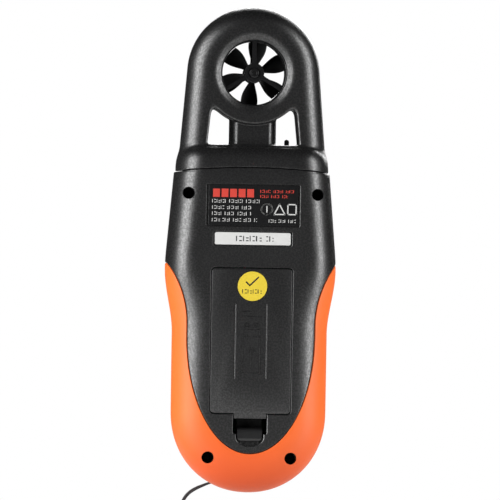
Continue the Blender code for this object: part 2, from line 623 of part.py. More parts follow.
# ---- battery and door ---------------------------------------------------------------------------
def battery_bay():
    tray = box("battery_tray", (-16.2, 16.2), (-4.2, 11.5), (-21.8, 36.0), BLACK)
    cut(tray, box("tray_room", (-15.0, 15.0), (-2.9, 13), (-20.6, 34.8)))
    block = box("battery", (-BATTERY_HALF, BATTERY_HALF), (BATTERY_Y0, BATTERY_Y1), (BATTERY_LOW, BATTERY_HIGH),
                STEEL)
    for sign, radius in ((1, 4.0), (-1, 2.9)):
        stud = [[(sign * 6.35 + radius * math.cos(math.tau * i / 16), 6.2 + radius * math.sin(math.tau * i / 16), z)
                 for i in range(16)] for z in (BATTERY_HIGH - 1, BATTERY_HIGH + 2.4)]
        join(block, loft(f"battery_stud_{sign}", stud, STEEL))
    box("battery_snap", (-12.0, 12.0), (1.0, 11.4), (BATTERY_HIGH + 2.7, 34.2), DARK)


def wire(name, points, radius, look):
    """A round flexible piece along points of a smooth curve."""
    curve = bpy.data.curves.new(name, "CURVE")
    curve.dimensions = "3D"
    curve.bevel_depth = radius * MM
    curve.bevel_resolution = 2
    curve.use_fill_caps = True
    spline = curve.splines.new("POLY")
    spline.points.add(len(points) - 1)
    for slot, p in zip(spline.points, points):
        slot.co = (*(Vector(p) * MM), 1.0)
    curve.materials.append(look)
    piece = bpy.data.objects.new(name, curve)
    bpy.context.scene.collection.objects.link(piece)
    return piece


def smooth_route(route, spacing):
    """Points about spacing apart on a Catmull-Rom curve through the route."""
    knots = [Vector(p) for p in route]
    knots = [2 * knots[0] - knots[1]] + knots + [2 * knots[-1] - knots[-2]]
    fine = []
    for a, b, c, d in zip(knots, knots[1:], knots[2:], knots[3:]):
        for step in range(12):
            t = step / 12
            fine.append(0.5 * (2 * b + (c - a) * t + (2 * a - 5 * b + 4 * c - d) * t * t
                               + (3 * b - a - 3 * c + d) * t ** 3))
    fine.append(knots[-2])
    picked, travelled = [fine[0]], 0.0
    for here, there in zip(fine, fine[1:]):
        travelled += (there - here).length
        if travelled >= spacing:
            picked.append(there)
            travelled = 0.0
    if (picked[-1] - fine[-1]).length < spacing * 0.5:
        picked.pop()
    return picked + [fine[-1]]


def battery_leads():
    for name, x, look in (("battery_lead_red", 3.0, RED), ("battery_lead_black", -3.0, DARK)):
        route = [(x, 11.9 + 0.2, 32.0), (x, 13.2, 33.6), (x, 13.4, 36.0), (x, 12.0, 38.4), (x, 8.0, 40.2),
                 (x, 2.0, 41.0), (x, -3.0, 41.6), (x, -5.9, 41.8)]
        wire(name, smooth_route(route, 2.8), 0.5, look)


def door():
    hinge = (0, REAR_DEPTH, DOOR_TOP)
    half, low, high = DOOR_HALF - GAP, DOOR_BOTTOM + GAP, DOOR_TOP - GAP
    inside = REAR_DEPTH - DOOR_THICK
    panel = prism("battery_door", rounded_box(half, low, high, DOOR_CORNER), inside, REAR_DEPTH, BLACK, hinge)
    join(panel, box("door_tab", (-TAB_HALF + GAP, TAB_HALF - GAP), (inside, REAR_DEPTH - 0.05),
                    (DOOR_BOTTOM - 1.8, low + 1)))
    join(panel, box("spring_root", (-LATCH_HALF, LATCH_HALF), (12.4, inside + 0.5),
                    (DOOR_BOTTOM - 1.7, DOOR_BOTTOM - 0.8)))
    for sign in (1, -1):
        x0, x1 = sorted((sign * 8.0, sign * 12.0))
        join(panel, box(f"door_hook_{sign}", (x0, x1), (13.2, inside + 0.5), (high - 1.4, high - 0.1)))
        join(panel, box(f"door_lip_{sign}", (x0, x1), (13.2, 14.6), (high - 1.0, high + 2.6)))
    cut(panel, turned("sticker_seat", [(6.4, REAR_DEPTH - 0.4), (6.4, REAR_DEPTH + 2)], BLACK, (-0.2, 30.4), 24))
    turned("inspection_sticker", [(6.05, REAR_DEPTH - 0.1), (6.05, REAR_DEPTH + 0.05)], YELLOW, (-0.2, 30.4), 24,
           hinge)
    latch_profile = [(11.2, -25.2), (11.2, -27.7), (12.0, -28.7), (16.4, -28.8), (16.4, -32.7), (17.9, -32.7),
                     (18.1, -28.9), (17.6, -27.9), (12.9, -27.7), (12.3, -27.3), (12.3, -25.2)]
    rings = [[(x, y, z) for y, z in latch_profile] for x in (-LATCH_HALF, LATCH_HALF)]
    loft("door_latch", rings, BLACK, (0, 12.0, -28.0))
    box("door_foam_pad", (-9, 9), (15.2, 16.2), (-12, 12), DARK, hinge)


# ---- labels and screws --------------------------------------------------------------------------
def labels():
    prism("rating_label", rounded_box(18.3, 55.4, 71.7, 0.5), 18.2, 18.45, BLACK)
    prism("serial_label", rounded_box(15.55, 47.35, 52.4, 0.7), 18.2, 18.45, WHITE)


def case_screws():
    for number, place in enumerate(screw_places(), 1):
        turned(f"case_screw_{number}", [(0.6, -10.5), (1.25, -9.0), (1.25, 9.3), (2.1, 9.3), (2.1, 10.6),
                                        (1.4, 11.0)], STEEL, place, 12)


# ---- wrist cord ---------------------------------------------------------------------------------
def strap_lug():
    """A steel eye pinned in the front half's lower wall; its hole runs sideways."""
    half = 1.0
    outline = []
    for step in range(9):
        angle = math.radians(180 + 22.5 * step)
        outline.append((LUG_Y + 1.5 * math.cos(angle), LUG_Z + 1.5 * math.sin(angle)))
    outline += [(LUG_Y + 1.5, LUG_Z + 4.2), (LUG_Y - 1.5, LUG_Z + 4.2)]
    eye = loft("strap_lug", [[(x, y, z) for y, z in outline] for x in (LUG_X - half, LUG_X + half)], STEEL)
    hole = [[(x, LUG_Y + 0.85 * math.cos(math.tau * i / 12), LUG_Z + 0.85 * math.sin(math.tau * i / 12))
             for i in range(12)] for x in (LUG_X - 3, LUG_X + 3)]
    cut(eye, loft("lug_hole", hole, STEEL))


def wrist_cord():
    wire("wrist_cord", smooth_route(CORD_ROUTE, 2 * CORD_R * 2.0), CORD_R, CORD)
    outline, radius = [], HANK_BEND + CORD_R + 0.15
    for step in range(17):
        angle = math.radians(180 * step / 16)
        outline.append((HANK_X + radius * math.cos(angle), HANK_Z + HANK_RUN / 2 + radius * math.sin(angle)))
    for step in range(17):
        angle = math.radians(180 + 180 * step / 16)
        outline.append((HANK_X + radius * math.cos(angle), HANK_Z - HANK_RUN / 2 + radius * math.sin(angle)))
    prism("wrist_cord_hank", outline, HANK_Y - HANK_HALF_THICK, HANK_Y + HANK_HALF_THICK, CORD)

    inner_x, inner_y, wall = radius + GAP, HANK_HALF_THICK + GAP, 1.0
    tie = box("hank_tie", (HANK_X - inner_x - wall, HANK_X + inner_x + wall),
              (HANK_Y - inner_y - wall, HANK_Y + inner_y + wall), (HANK_Z - 2.2, HANK_Z + 2.2), RUBBER)
    cut(tie, box("hank_tie_room", (HANK_X - inner_x, HANK_X + inner_x), (HANK_Y - inner_y, HANK_Y + inner_y),
                 (HANK_Z - 5, HANK_Z + 5)))

    end_x, end_z = HANK_X + HANK_BEND, HANK_Z - HANK_RUN / 2 - radius - GAP
    end_y = HANK_Y + HANK_HALF_THICK - CORD_R - 0.1
    crimp = [[(end_x + r * math.cos(math.tau * i / 16), end_y + r * math.sin(math.tau * i / 16), z)
              for i in range(16)] for r, z in ((1.2, end_z), (1.5, end_z - 0.4), (1.5, end_z - 6.6),
                                               (1.2, end_z - 7.0))]
    loft("cord_ferrule", crimp, STEEL)


rear_half()
front_half()
head_half("head_rear_shell", 1)
head_half("head_front_shell", -1)
temperature_sensor()
vane()
sensor()
electronics()
keys()
battery_bay()
battery_leads()
door()
labels()
case_screws()
strap_lug()
wrist_cord()
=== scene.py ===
"""Looks of the handheld weather meter. Lengths are millimetres until MM turns them into metres."""
import math

import bmesh
import bpy
import numpy as np
from mathutils import Matrix, Vector


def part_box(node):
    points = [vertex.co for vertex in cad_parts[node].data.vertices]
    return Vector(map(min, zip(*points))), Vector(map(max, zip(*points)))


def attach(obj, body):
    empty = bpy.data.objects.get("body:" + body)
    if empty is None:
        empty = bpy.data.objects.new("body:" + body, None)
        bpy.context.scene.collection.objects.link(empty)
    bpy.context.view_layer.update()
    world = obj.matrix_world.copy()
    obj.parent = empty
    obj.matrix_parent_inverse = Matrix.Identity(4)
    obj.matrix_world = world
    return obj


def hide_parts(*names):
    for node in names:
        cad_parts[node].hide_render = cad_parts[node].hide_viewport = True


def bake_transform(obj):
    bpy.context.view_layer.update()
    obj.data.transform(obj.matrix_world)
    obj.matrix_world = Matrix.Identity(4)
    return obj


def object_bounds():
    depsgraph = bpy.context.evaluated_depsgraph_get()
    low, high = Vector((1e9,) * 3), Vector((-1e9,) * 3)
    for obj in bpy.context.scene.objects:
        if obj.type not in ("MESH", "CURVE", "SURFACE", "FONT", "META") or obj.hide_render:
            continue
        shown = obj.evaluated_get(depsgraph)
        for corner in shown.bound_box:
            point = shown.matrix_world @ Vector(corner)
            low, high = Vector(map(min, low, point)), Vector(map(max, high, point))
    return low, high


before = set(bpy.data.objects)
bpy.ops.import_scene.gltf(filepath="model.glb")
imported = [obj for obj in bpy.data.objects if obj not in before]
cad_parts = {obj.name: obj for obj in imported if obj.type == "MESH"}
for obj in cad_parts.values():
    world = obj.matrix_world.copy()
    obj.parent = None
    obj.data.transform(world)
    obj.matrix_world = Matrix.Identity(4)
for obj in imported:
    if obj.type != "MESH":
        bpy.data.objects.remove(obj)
cad_low, cad_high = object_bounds()
MM = 0.001

# ==== camera ====
# A long lens looks level at the back of the meter, a little from the cord's side. It is held about a
# degree off level, so that the case leans slightly to the right.
CAMERA_AZIMUTH, CAMERA_RISE, CAMERA_ROLL = math.radians(177.3), math.radians(-0.2), math.radians(0.92)
CAMERA_DISTANCE, FRAME_WIDTH, AIM = 3.2, 0.2062, Vector((0.0002, 0.0, 0.0453))


def place_camera():
    data = bpy.data.cameras.new("camera")
    camera = bpy.data.objects.new("camera", data)
    bpy.context.scene.collection.objects.link(camera)
    back = Vector((math.sin(CAMERA_AZIMUTH) * math.cos(CAMERA_RISE),
                   -math.cos(CAMERA_AZIMUTH) * math.cos(CAMERA_RISE), math.sin(CAMERA_RISE)))
    camera.location = AIM + back * CAMERA_DISTANCE
    turn = (-back).to_track_quat("-Z", "Y").to_matrix() @ Matrix.Rotation(CAMERA_ROLL, 3, "Z")
    camera.rotation_euler = turn.to_euler()
    data.lens = data.sensor_width * CAMERA_DISTANCE / FRAME_WIDTH
    data.clip_end = 20.0
    bpy.context.scene.camera = camera


place_camera()

# ==== wrist cord ====
# A flat braided polyester cord tied through the strap lug. It leaves the lower end edge-on, turns its broad
# side to the back and hangs down. The spare length is folded into a hank, where the cord is drawn nearly
# round, and is held by a rubber tie and ends in a ferrule.
CORD_WIDTH, CORD_EDGE = 1.4, 0.62
CORD_ROUTE = [
    (8.9, -15.0, -50.8), (12.0, -15.0, -50.8), (14.8, -14.9, -51.4), (17.9, -14.7, -52.6),
    (20.7, -14.5, -53.9), (23.2, -14.3, -55.6), (25.1, -14.1, -57.9), (26.5, -14.0, -61.2),
    (27.4, -14.0, -65.5), (27.8, -14.0, -70.2), (27.8, -14.0, -74.6),
]
HANK_RUN, HANK_BEND, HANK_TURNS, HANK_PITCH = 22.0, 4.3, 4, 1.42


class Field:
    """A value that varies over a surface; arithmetic on it adds Math nodes to its material."""

    def __init__(self, paint, socket):
        self.paint, self.socket = paint, socket

    def math(self, operation, *values):
        return self.paint.node("ShaderNodeMath", {"operation": operation}, *values)

    def __add__(self, other):
        return self.math("ADD", self, other)

    def __rsub__(self, other):
        return self.math("SUBTRACT", other, self)

    def __mul__(self, other):
        return self.math("MULTIPLY", self, other)

    def __gt__(self, other):
        return self.math("GREATER_THAN", self, other)

    def __lt__(self, other):
        return self.math("LESS_THAN", self, other)

    __radd__, __rmul__ = __add__, __mul__


class Paint:
    """A Principled material under construction."""

    def __init__(self, name, colour, roughness, metallic=0.0, **fixed):
        self.material = bpy.data.materials.new(name)
        self.material.use_nodes = True
        self.tree = self.material.node_tree
        self.shader = self.tree.nodes["Principled BSDF"]
        self.set("Base Color", (*colour, 1.0))
        self.set("Roughness", roughness)
        self.set("Metallic", metallic)
        for key, value in fixed.items():
            self.set(key.replace("_", " ").title().replace("Ior", "IOR"), value)

    def set(self, socket, value):
        self.connect(self.shader.inputs[socket], value)

    def connect(self, socket, value):
        if isinstance(value, Field):
            self.tree.links.new(value.socket, socket)
        else:
            socket.default_value = value

    def node(self, kind, settings, *values, out=0, **named):
        """A node of that kind: its settings first, then its sockets in order or by name."""
        made = self.tree.nodes.new(kind)
        for key, value in settings.items():
            setattr(made, key, value)
        for socket, value in zip(made.inputs, values):
            self.connect(socket, value)
        for key, value in named.items():
            self.connect(made.inputs[key.replace("_", " ")], value)
        return Field(self, made.outputs[out])

    @staticmethod
    def blank():
        """A plain material for cutting tools, which never show."""
        return Paint("tool", (0.5, 0.5, 0.5), 0.5)

    def point(self):
        """The surface point in metres, as one vector."""
        return self.node("ShaderNodeTexCoord", {}, out=3)

    def place(self):
        """The surface point in metres, as one vector and as its X, Y and Z fields."""
        point = self.point()
        split = self.node("ShaderNodeSeparateXYZ", {}, point)
        sockets = split.socket.node.outputs
        return point, Field(self, sockets[0]), Field(self, sockets[1]), Field(self, sockets[2])

    def noise(self, point, per_metre, detail=2.0, rough=0.5):
        return self.node("ShaderNodeTexNoise", {}, Vector=point, Scale=per_metre, Detail=detail,
                         Roughness=rough)

    def mix(self, factor, first, second):
        """Colour first where factor is 0 and second where it is 1."""
        made = self.tree.nodes.new("ShaderNodeMix")
        made.data_type = "RGBA"
        for socket, value in ((made.inputs[0], factor), (made.inputs[6], first), (made.inputs[7], second)):
            self.connect(socket, (*value, 1.0) if isinstance(value, tuple) else value)
        return Field(self, made.outputs[2])

    def bump(self, height, depth, strength=1.0):
        self.set("Normal", self.node("ShaderNodeBump", {}, Strength=strength, Distance=depth, Height=height))


def new_piece(name, points, faces, paint, sharp=30):
    """A mesh piece from millimetre points, with its faces turned outward and round parts shaded smooth."""
    mesh = bpy.data.meshes.new(name)
    work = bmesh.new()
    corners = [work.verts.new(Vector(p) * MM) for p in points]
    for face in faces:
        if len(set(face)) > 2:
            work.faces.new([corners[i] for i in face])
    bmesh.ops.remove_doubles(work, verts=work.verts, dist=2e-6)
    bmesh.ops.dissolve_degenerate(work, edges=work.edges, dist=1e-6)
    bmesh.ops.recalc_face_normals(work, faces=work.faces)
    work.to_mesh(mesh)
    work.free()
    mesh.materials.append(paint.material)
    mesh.shade_smooth()
    mesh.set_sharp_from_angle(angle=math.radians(sharp))
    piece = bpy.data.objects.new(name, mesh)
    bpy.context.scene.collection.objects.link(piece)
    return piece


def tube_faces(rings, count):
    """Faces of a tube with flat ends, whose rings each have count points."""
    faces = []
    for level in range(rings - 1):
        low, high = level * count, (level + 1) * count
        for i in range(count):
            j = (i + 1) % count
            faces.append((low + i, low + j, high + j, high + i))
    return faces + [tuple(range(count)), tuple(range((rings - 1) * count, rings * count))]


def smooth_route(route, steps):
    """Points on a Catmull-Rom curve through the route."""
    knots = [Vector(p) for p in route]
    knots = [2 * knots[0] - knots[1]] + knots + [2 * knots[-1] - knots[-2]]
    fine = []
    for a, b, c, d in zip(knots, knots[1:], knots[2:], knots[3:]):
        for step in range(steps):
            t = step / steps
            fine.append(0.5 * (2 * b + (c - a) * t + (2 * a - 5 * b + 4 * c - d) * t * t
                               + (3 * b - a - 3 * c + d) * t ** 3))
    return fine + [knots[-2]]


def hank_route():
    """The folded length: runs joined by half circles, each turn one pitch further towards the back."""
    low, high = (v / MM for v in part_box("wrist_cord_hank"))
    centre = (low + high) / 2
    start_y = CORD_ROUTE[-1][1]
    turn = 2 * HANK_RUN + math.tau * HANK_BEND
    total = HANK_TURNS * turn + HANK_RUN
    points, step = [], 1.2
    count = int(total / step)
    for i in range(count + 1):
        along = total * i / count
        y = start_y + HANK_PITCH * along / turn
        left = along % turn
        if left < HANK_RUN:
            x, z = HANK_BEND, HANK_RUN / 2 - left
        elif left < HANK_RUN + math.pi * HANK_BEND:
            angle = (left - HANK_RUN) / HANK_BEND
            x, z = HANK_BEND * math.cos(angle), -HANK_RUN / 2 - HANK_BEND * math.sin(angle)
        elif left < 2 * HANK_RUN + math.pi * HANK_BEND:
            x, z = -HANK_BEND, -HANK_RUN / 2 + left - HANK_RUN - math.pi * HANK_BEND
        else:
            angle = (left - 2 * HANK_RUN - math.pi * HANK_BEND) / HANK_BEND
            x, z = -HANK_BEND * math.cos(angle), HANK_RUN / 2 + HANK_BEND * math.sin(angle)
        points.append(Vector((centre.x + x, y, centre.z + z)))
    return points


def cord_paint():
    paint = Paint("cord_weave", (0.02, 0.02, 0.021), 0.62, sheen_weight=0.25, sheen_roughness=0.4)
    point = paint.point()
    weave = paint.node("ShaderNodeTexWave", {"wave_type": "BANDS", "bands_direction": "DIAGONAL"},
                       Vector=point, Scale=420.0, Distortion=1.5, Detail=1.0)
    fuzz = paint.noise(point, 5200.0)
    paint.set("Base Color", paint.mix(weave * 0.6 + fuzz * 0.4, (0.010, 0.010, 0.011), (0.045, 0.045, 0.048)))
    paint.set("Roughness", 0.5 + fuzz * 0.3)
    paint.bump(weave * 0.7 + fuzz * 0.3, 0.00008, 0.7)
    return paint


def make_cord():
    lead = smooth_route(CORD_ROUTE, 6)
    hank = hank_route()
    lead[-1] = lead[-2].lerp(hank[0], 0.5)
    tail = [hank[-1] + Vector((0, 0, -d)) for d in (1.2, 2.4, 3.6, 4.4)]
    route = lead + hank + tail
    points, side = [], 10
    for i, here in enumerate(route):
        along = (route[min(i + 1, len(route) - 1)] - route[max(i - 1, 0)]).normalized()
        across = Vector((0, 1, 0)) - along * along.y
        across.normalize()
        up = along.cross(across)
        turned = min(i / 26, 1.0) * math.pi / 2
        round_off = min(max((i - len(lead) * 0.8) / 18, 0.0), 1.0)
        wide = CORD_WIDTH / 2 * (1 - 0.15 * round_off)
        thin = CORD_EDGE / 2 + (CORD_WIDTH / 2 * 0.85 - CORD_EDGE / 2) * round_off
        for k in range(side):
            angle = math.tau * k / side
            u, v = wide * math.cos(angle), thin * math.sin(angle)
            u, v = u * math.cos(turned) - v * math.sin(turned), u * math.sin(turned) + v * math.cos(turned)
            points.append(here + across * u + up * v)
    piece = new_piece("wrist_cord_braid", points, tube_faces(len(route), side), cord_paint(), sharp=60)
    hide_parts("wrist_cord", "wrist_cord_hank")
    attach(piece, "case")
    length = sum((b - a).length for a, b in zip(route, route[1:])) * MM
    return piece, [p * MM for p in route], length


cord, cord_path, cord_length = make_cord()


def steel_paint(name="plated_steel", colour=(0.52, 0.52, 0.54), roughness=0.3):
    paint = Paint(name, colour, roughness, metallic=1.0)
    point = paint.point()
    marks = paint.noise(point, 900.0, 3.0)
    paint.set("Roughness", roughness - 0.08 + marks * 0.2)
    paint.bump(marks, 0.00001, 0.4)
    return paint


steel = steel_paint()


def repaint(paint, *nodes):
    """A CAD node whose shape is right keeps it and takes this material."""
    for node in nodes:
        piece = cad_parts[node]
        piece.data.materials.clear()
        piece.data.materials.append(paint.material)


def rubber_paint(name, colour, roughness=0.6):
    paint = Paint(name, colour, roughness, sheen_weight=0.08)
    point = paint.point()
    dust = paint.noise(point, 1500.0, 3.0)
    paint.set("Base Color", paint.mix(dust, tuple(c * 0.8 for c in colour), tuple(c * 1.25 for c in colour)))
    paint.set("Roughness", roughness - 0.08 + dust * 0.16)
    paint.bump(dust, 0.00002, 0.5)
    return paint


soft_rubber = rubber_paint("soft_rubber", (0.022, 0.022, 0.023))
repaint(steel, "cord_ferrule", "strap_lug")
repaint(soft_rubber, "hank_tie")

# ==== floor and light ====
# A white studio: a pale floor below, a tall softbox on each side and a weak fill from the display side. The
# floor glows, dimmed near the meter as a painted soft shadow pool, and brightens with its distance so it
# meets the white surroundings without an edge.
FLOOR_DROP, FLOOR_RADIUS, ROOM_LIGHT = 0.02, 0.5, 0.02


def light(name, place, size, power, target=(0, 0, 0.045)):
    data = bpy.data.lights.new(name, "AREA")
    data.shape, data.size, data.size_y, data.energy = "RECTANGLE", size[0], size[1], power
    lamp = bpy.data.objects.new(name, data)
    bpy.context.scene.collection.objects.link(lamp)
    lamp.location = place
    lamp.rotation_euler = (Vector(target) - Vector(place)).to_track_quat("-Z", "Y").to_euler()
    lamp.visible_camera = False
    return lamp


def studio():
    floor_z = cad_low.z - FLOOR_DROP
    paint = Paint("pale_floor", (0.78, 0.78, 0.77), 0.7)
    _, x, y, _ = paint.place()
    far = paint.node("ShaderNodeMath", {"operation": "SQRT"}, x * x + y * y)
    # Painted shadow: the floor's emission is dim within 0.15 m of the meter and rises to near white by
    # FLOOR_RADIUS.
    glow = paint.node("ShaderNodeMapRange", {"clamp": True}, far, 0.15, FLOOR_RADIUS, 0.0, 1.0)
    paint.set("Emission Color", paint.mix(glow, (0.06, 0.06, 0.06), (0.9, 0.9, 0.9)))
    paint.set("Emission Strength", 1.0)
    turns = [math.tau * i / 96 for i in range(96)]
    ring = [(FLOOR_RADIUS / MM * math.cos(turn), FLOOR_RADIUS / MM * math.sin(turn), floor_z / MM)
            for turn in turns]
    floor = new_piece("floor", ring, [tuple(range(96))], paint)
    world = bpy.data.worlds.new("studio")
    bpy.context.scene.world = world
    world.use_nodes = True
    nodes, links = world.node_tree.nodes, world.node_tree.links
    sky = nodes["Background"]
    path = nodes.new("ShaderNodeLightPath")
    level = nodes.new("ShaderNodeMapRange")
    level.inputs[3].default_value, level.inputs[4].default_value = ROOM_LIGHT, 1.0
    links.new(path.outputs["Is Camera Ray"], level.inputs[0])
    links.new(level.outputs[0], sky.inputs["Strength"])
    sky.inputs["Color"].default_value = (1, 1, 1, 1)
    light("left_softbox", (1.05, 0.46, 0.28), (0.9, 1.2), 24.5)
    light("right_softbox", (-1.05, 0.50, 0.26), (0.5, 1.2), 15.0)
    light("front_fill", (-0.3, -1.2, 0.6), (0.8, 0.8), 10.0)
    bpy.context.scene.view_settings.view_transform = "Standard"


studio()

# ==== rear and front covers ====
# Two black ABS trays with a fine moulded grain, screwed together from the back. A shallow step all round
# leaves room for the orange grips; the flat back has pockets for the labels, the battery opening and a
# finger scoop.
HALF_GAP, TOUCH = 0.15, 0.015
SEAM_Z, SEAM_RISE, TOP_HALF_WIDTH = 76.9, 1.9, 32.1
SLOPE_Z, SLOPE_HALF_WIDTH = 44.5, 34.87
HIP_Z, HIP_HALF_WIDTH = 37.0, 35.2
WAIST_Z, WAIST_HALF_WIDTH = 11.0, 31.95
END_Z, END_RISE, END_POWER = -21.5, 33.2, 2.08
REAR_DEPTH, FRONT_DEPTH = 18.5, 17.5
EDGE_TOP, EDGE_WAIST, EDGE_POWER = 12.5, 17.0, 2.3
GRIP_SKIN, GRIP_POCKET, WALL = 1.2, 1.5, 3.5
GROOVE, LIP = 0.32, 0.3
FLOOR_ROWS, STEP_ROWS, FACE_ROWS = 14, 5, 16
SHIELD_ARC_R, SHIELD_ARC_X, SHIELD_ARC_Z = 40.0, 66.2, 14.7
SHIELD_END_Z, SHIELD_END_WIDTH, SHIELD_END_RISE = 10.0, 26.2, 48.2
TIP_Z = 39.9
TOP_SCREW, BOTTOM_SCREW = (26.5, 68.3), (17.0, -40.1)
RATING_POCKET, SERIAL_POCKET, POCKET_FLOOR = (19.2, 54.9, 72.2), (16.2, 46.8, 52.9), 17.9


def seam_height(x):
    """The joint with the head is a flat arch, highest in the middle."""
    return SEAM_Z + SEAM_RISE * (1 - (x / TOP_HALF_WIDTH) ** 2)


def ease(t):
    return t * t * (3 - 2 * t)


def case_half_width(z):
    if z >= SLOPE_Z:
        return SLOPE_HALF_WIDTH + (TOP_HALF_WIDTH - SLOPE_HALF_WIDTH) * (z - SLOPE_Z) / (SEAM_Z - SLOPE_Z)
    if z >= HIP_Z:
        return HIP_HALF_WIDTH + (SLOPE_HALF_WIDTH - HIP_HALF_WIDTH) * ((z - HIP_Z) / (SLOPE_Z - HIP_Z)) ** 2
    if z >= WAIST_Z:
        rise = ease((z - WAIST_Z) / (HIP_Z - WAIST_Z))
        return WAIST_HALF_WIDTH + (HIP_HALF_WIDTH - WAIST_HALF_WIDTH) * rise
    return WAIST_HALF_WIDTH


def case_path():
    """The outline from the +X end of the seam round the lower end to the -X end, as (x, z) points."""
    heights = {SEAM_Z, SEAM_Z - 0.12, SEAM_Z - 0.35, TIP_Z, TIP_Z - 0.02, END_Z}
    for start, end, gap in ((SEAM_Z - 2.0, TIP_Z + 2, -2.2), (TIP_Z - 0.5, 24.0, -0.6),
                            (23.4, END_Z + 0.5, -1.5)):
        heights |= set(np.arange(start, end, gap))
    side = [(case_half_width(z), z) for z in sorted(heights, reverse=True)]
    steps = 44
    for step in range(1, steps + 1):
        angle = math.pi / 2 * step / steps
        side.append((WAIST_HALF_WIDTH * max(math.cos(angle), 0.0) ** (2 / END_POWER),
                     END_Z - END_RISE * math.sin(angle) ** (2 / END_POWER)))
    side[-1] = (0.0, END_Z - END_RISE)
    return side + [(-x, z) for x, z in reversed(side[:-1])]


def inward_normals(path):
    """Unit normals that point into the outline; the two ends stay level."""
    normals = []
    for i, (x, z) in enumerate(path):
        if i in (0, len(path) - 1):
            normals.append(Vector((-math.copysign(1.0, x), 0.0)))
        elif z > END_Z:
            slope = case_half_width(z + 0.5) - case_half_width(z - 0.5)
            normals.append(Vector((-math.copysign(1.0, x), slope)).normalized())
        else:
            along = Vector(path[i + 1]) - Vector(path[i - 1])
            normals.append(Vector((along.y, -along.x)).normalized())
    return normals


def edge_reach(z):
    return EDGE_TOP + (EDGE_WAIST - EDGE_TOP) * ease(min(max((45.0 - z) / 30.0, 0.0), 1.0))


def shield_half_width(z):
    """Half width of the black field between the grips; below its end it turns negative."""
    if z >= SHIELD_ARC_Z:
        rise = min(z - SHIELD_ARC_Z, SHIELD_ARC_R * 0.99)
        return SHIELD_ARC_X - math.sqrt(SHIELD_ARC_R ** 2 - rise ** 2)
    if z >= SHIELD_END_Z:
        return SHIELD_END_WIDTH
    drop = (SHIELD_END_Z - z) / SHIELD_END_RISE
    return SHIELD_END_WIDTH * math.sqrt(1 - drop ** 2) if drop < 1 else (1 - drop) * SHIELD_END_RISE


def edge_turn(inward):
    """The angle at which the rounded edge has come inward by that share of its reach."""
    return math.acos(max(1 - inward, 0.0) ** (EDGE_POWER / 2))


class Tray:
    """One half of the case: its outline, its depth and the way its rounded edge bends over to the flat."""

    def __init__(self, side, depth):
        self.side, self.depth = side, depth
        self.path = case_path()
        self.normals = inward_normals(self.path)
        self.borders = [self.border(i) for i in range(len(self.path))]

    def border(self, i):
        """Distance inward, as a share of the edge's reach, at which column i meets the shield."""
        (x, z), normal = self.path[i], self.normals[i]
        if z >= TIP_Z:
            return None
        low, high = 0.0, 1.0
        for _ in range(30):
            middle = (low + high) / 2
            shift = edge_reach(z) * middle
            if shield_half_width(z + normal.y * shift) > abs(x + normal.x * shift):
                high = middle
            else:
                low = middle
        return max(low, 0.012)

    def point(self, i, turn, offset):
        """Column i of the surface offset inward, at that angle round the edge."""
        (x, z), normal = self.path[i], self.normals[i]
        shift = offset + (edge_reach(z) - offset) * (1 - max(math.cos(turn), 0.0) ** (2 / EDGE_POWER))
        y = HALF_GAP + (self.depth - offset - HALF_GAP) * math.sin(turn) ** (2 / EDGE_POWER)
        x, z = x + normal.x * shift, z + normal.y * shift
        if z > 66:
            z += (seam_height(x) - SEAM_Z) * ease(min((z - 66) / (SEAM_Z - 66), 1.0))
        return Vector((x, self.side * y, z))

    def cover_rows(self, i):
        """(angle, offset) pairs up the outside of column i: pocket floor, step, then the grained face."""
        border = self.borders[i]
        tip = self.borders[next(k for k, b in enumerate(self.borders) if b is not None)]
        meet = edge_turn(tip if border is None else border)
        step = edge_turn(min((tip if border is None else border) + 0.25 / edge_reach(self.path[i][1]), 1.0))
        deep = 0.0 if border is None else GRIP_POCKET
        rows = [(meet * (k / FLOOR_ROWS) ** 0.8, deep) for k in range(FLOOR_ROWS)]
        for k in range(STEP_ROWS):
            t = k / (STEP_ROWS - 1)
            drop = (1.0, 0.22, 0.08, 0.02, 0.0)[k]
            rows.append((meet + (step - meet) * (0.0, 0.0, 0.3, 0.65, 1.0)[k], deep * drop))
        rows += [(step + (math.pi / 2 - step) * k / FACE_ROWS, 0.0) for k in range(1, FACE_ROWS + 1)]
        rim = {0: 0.3, 1: 0.09}.get(min(i, len(self.path) - 1 - i), 0.0)
        soft = {0: 0.22, 1: 0.06}
        return [(turn, offset + max(rim, soft.get(k, 0.0) if border is None else 0.0))
                for k, (turn, offset) in enumerate(rows)]


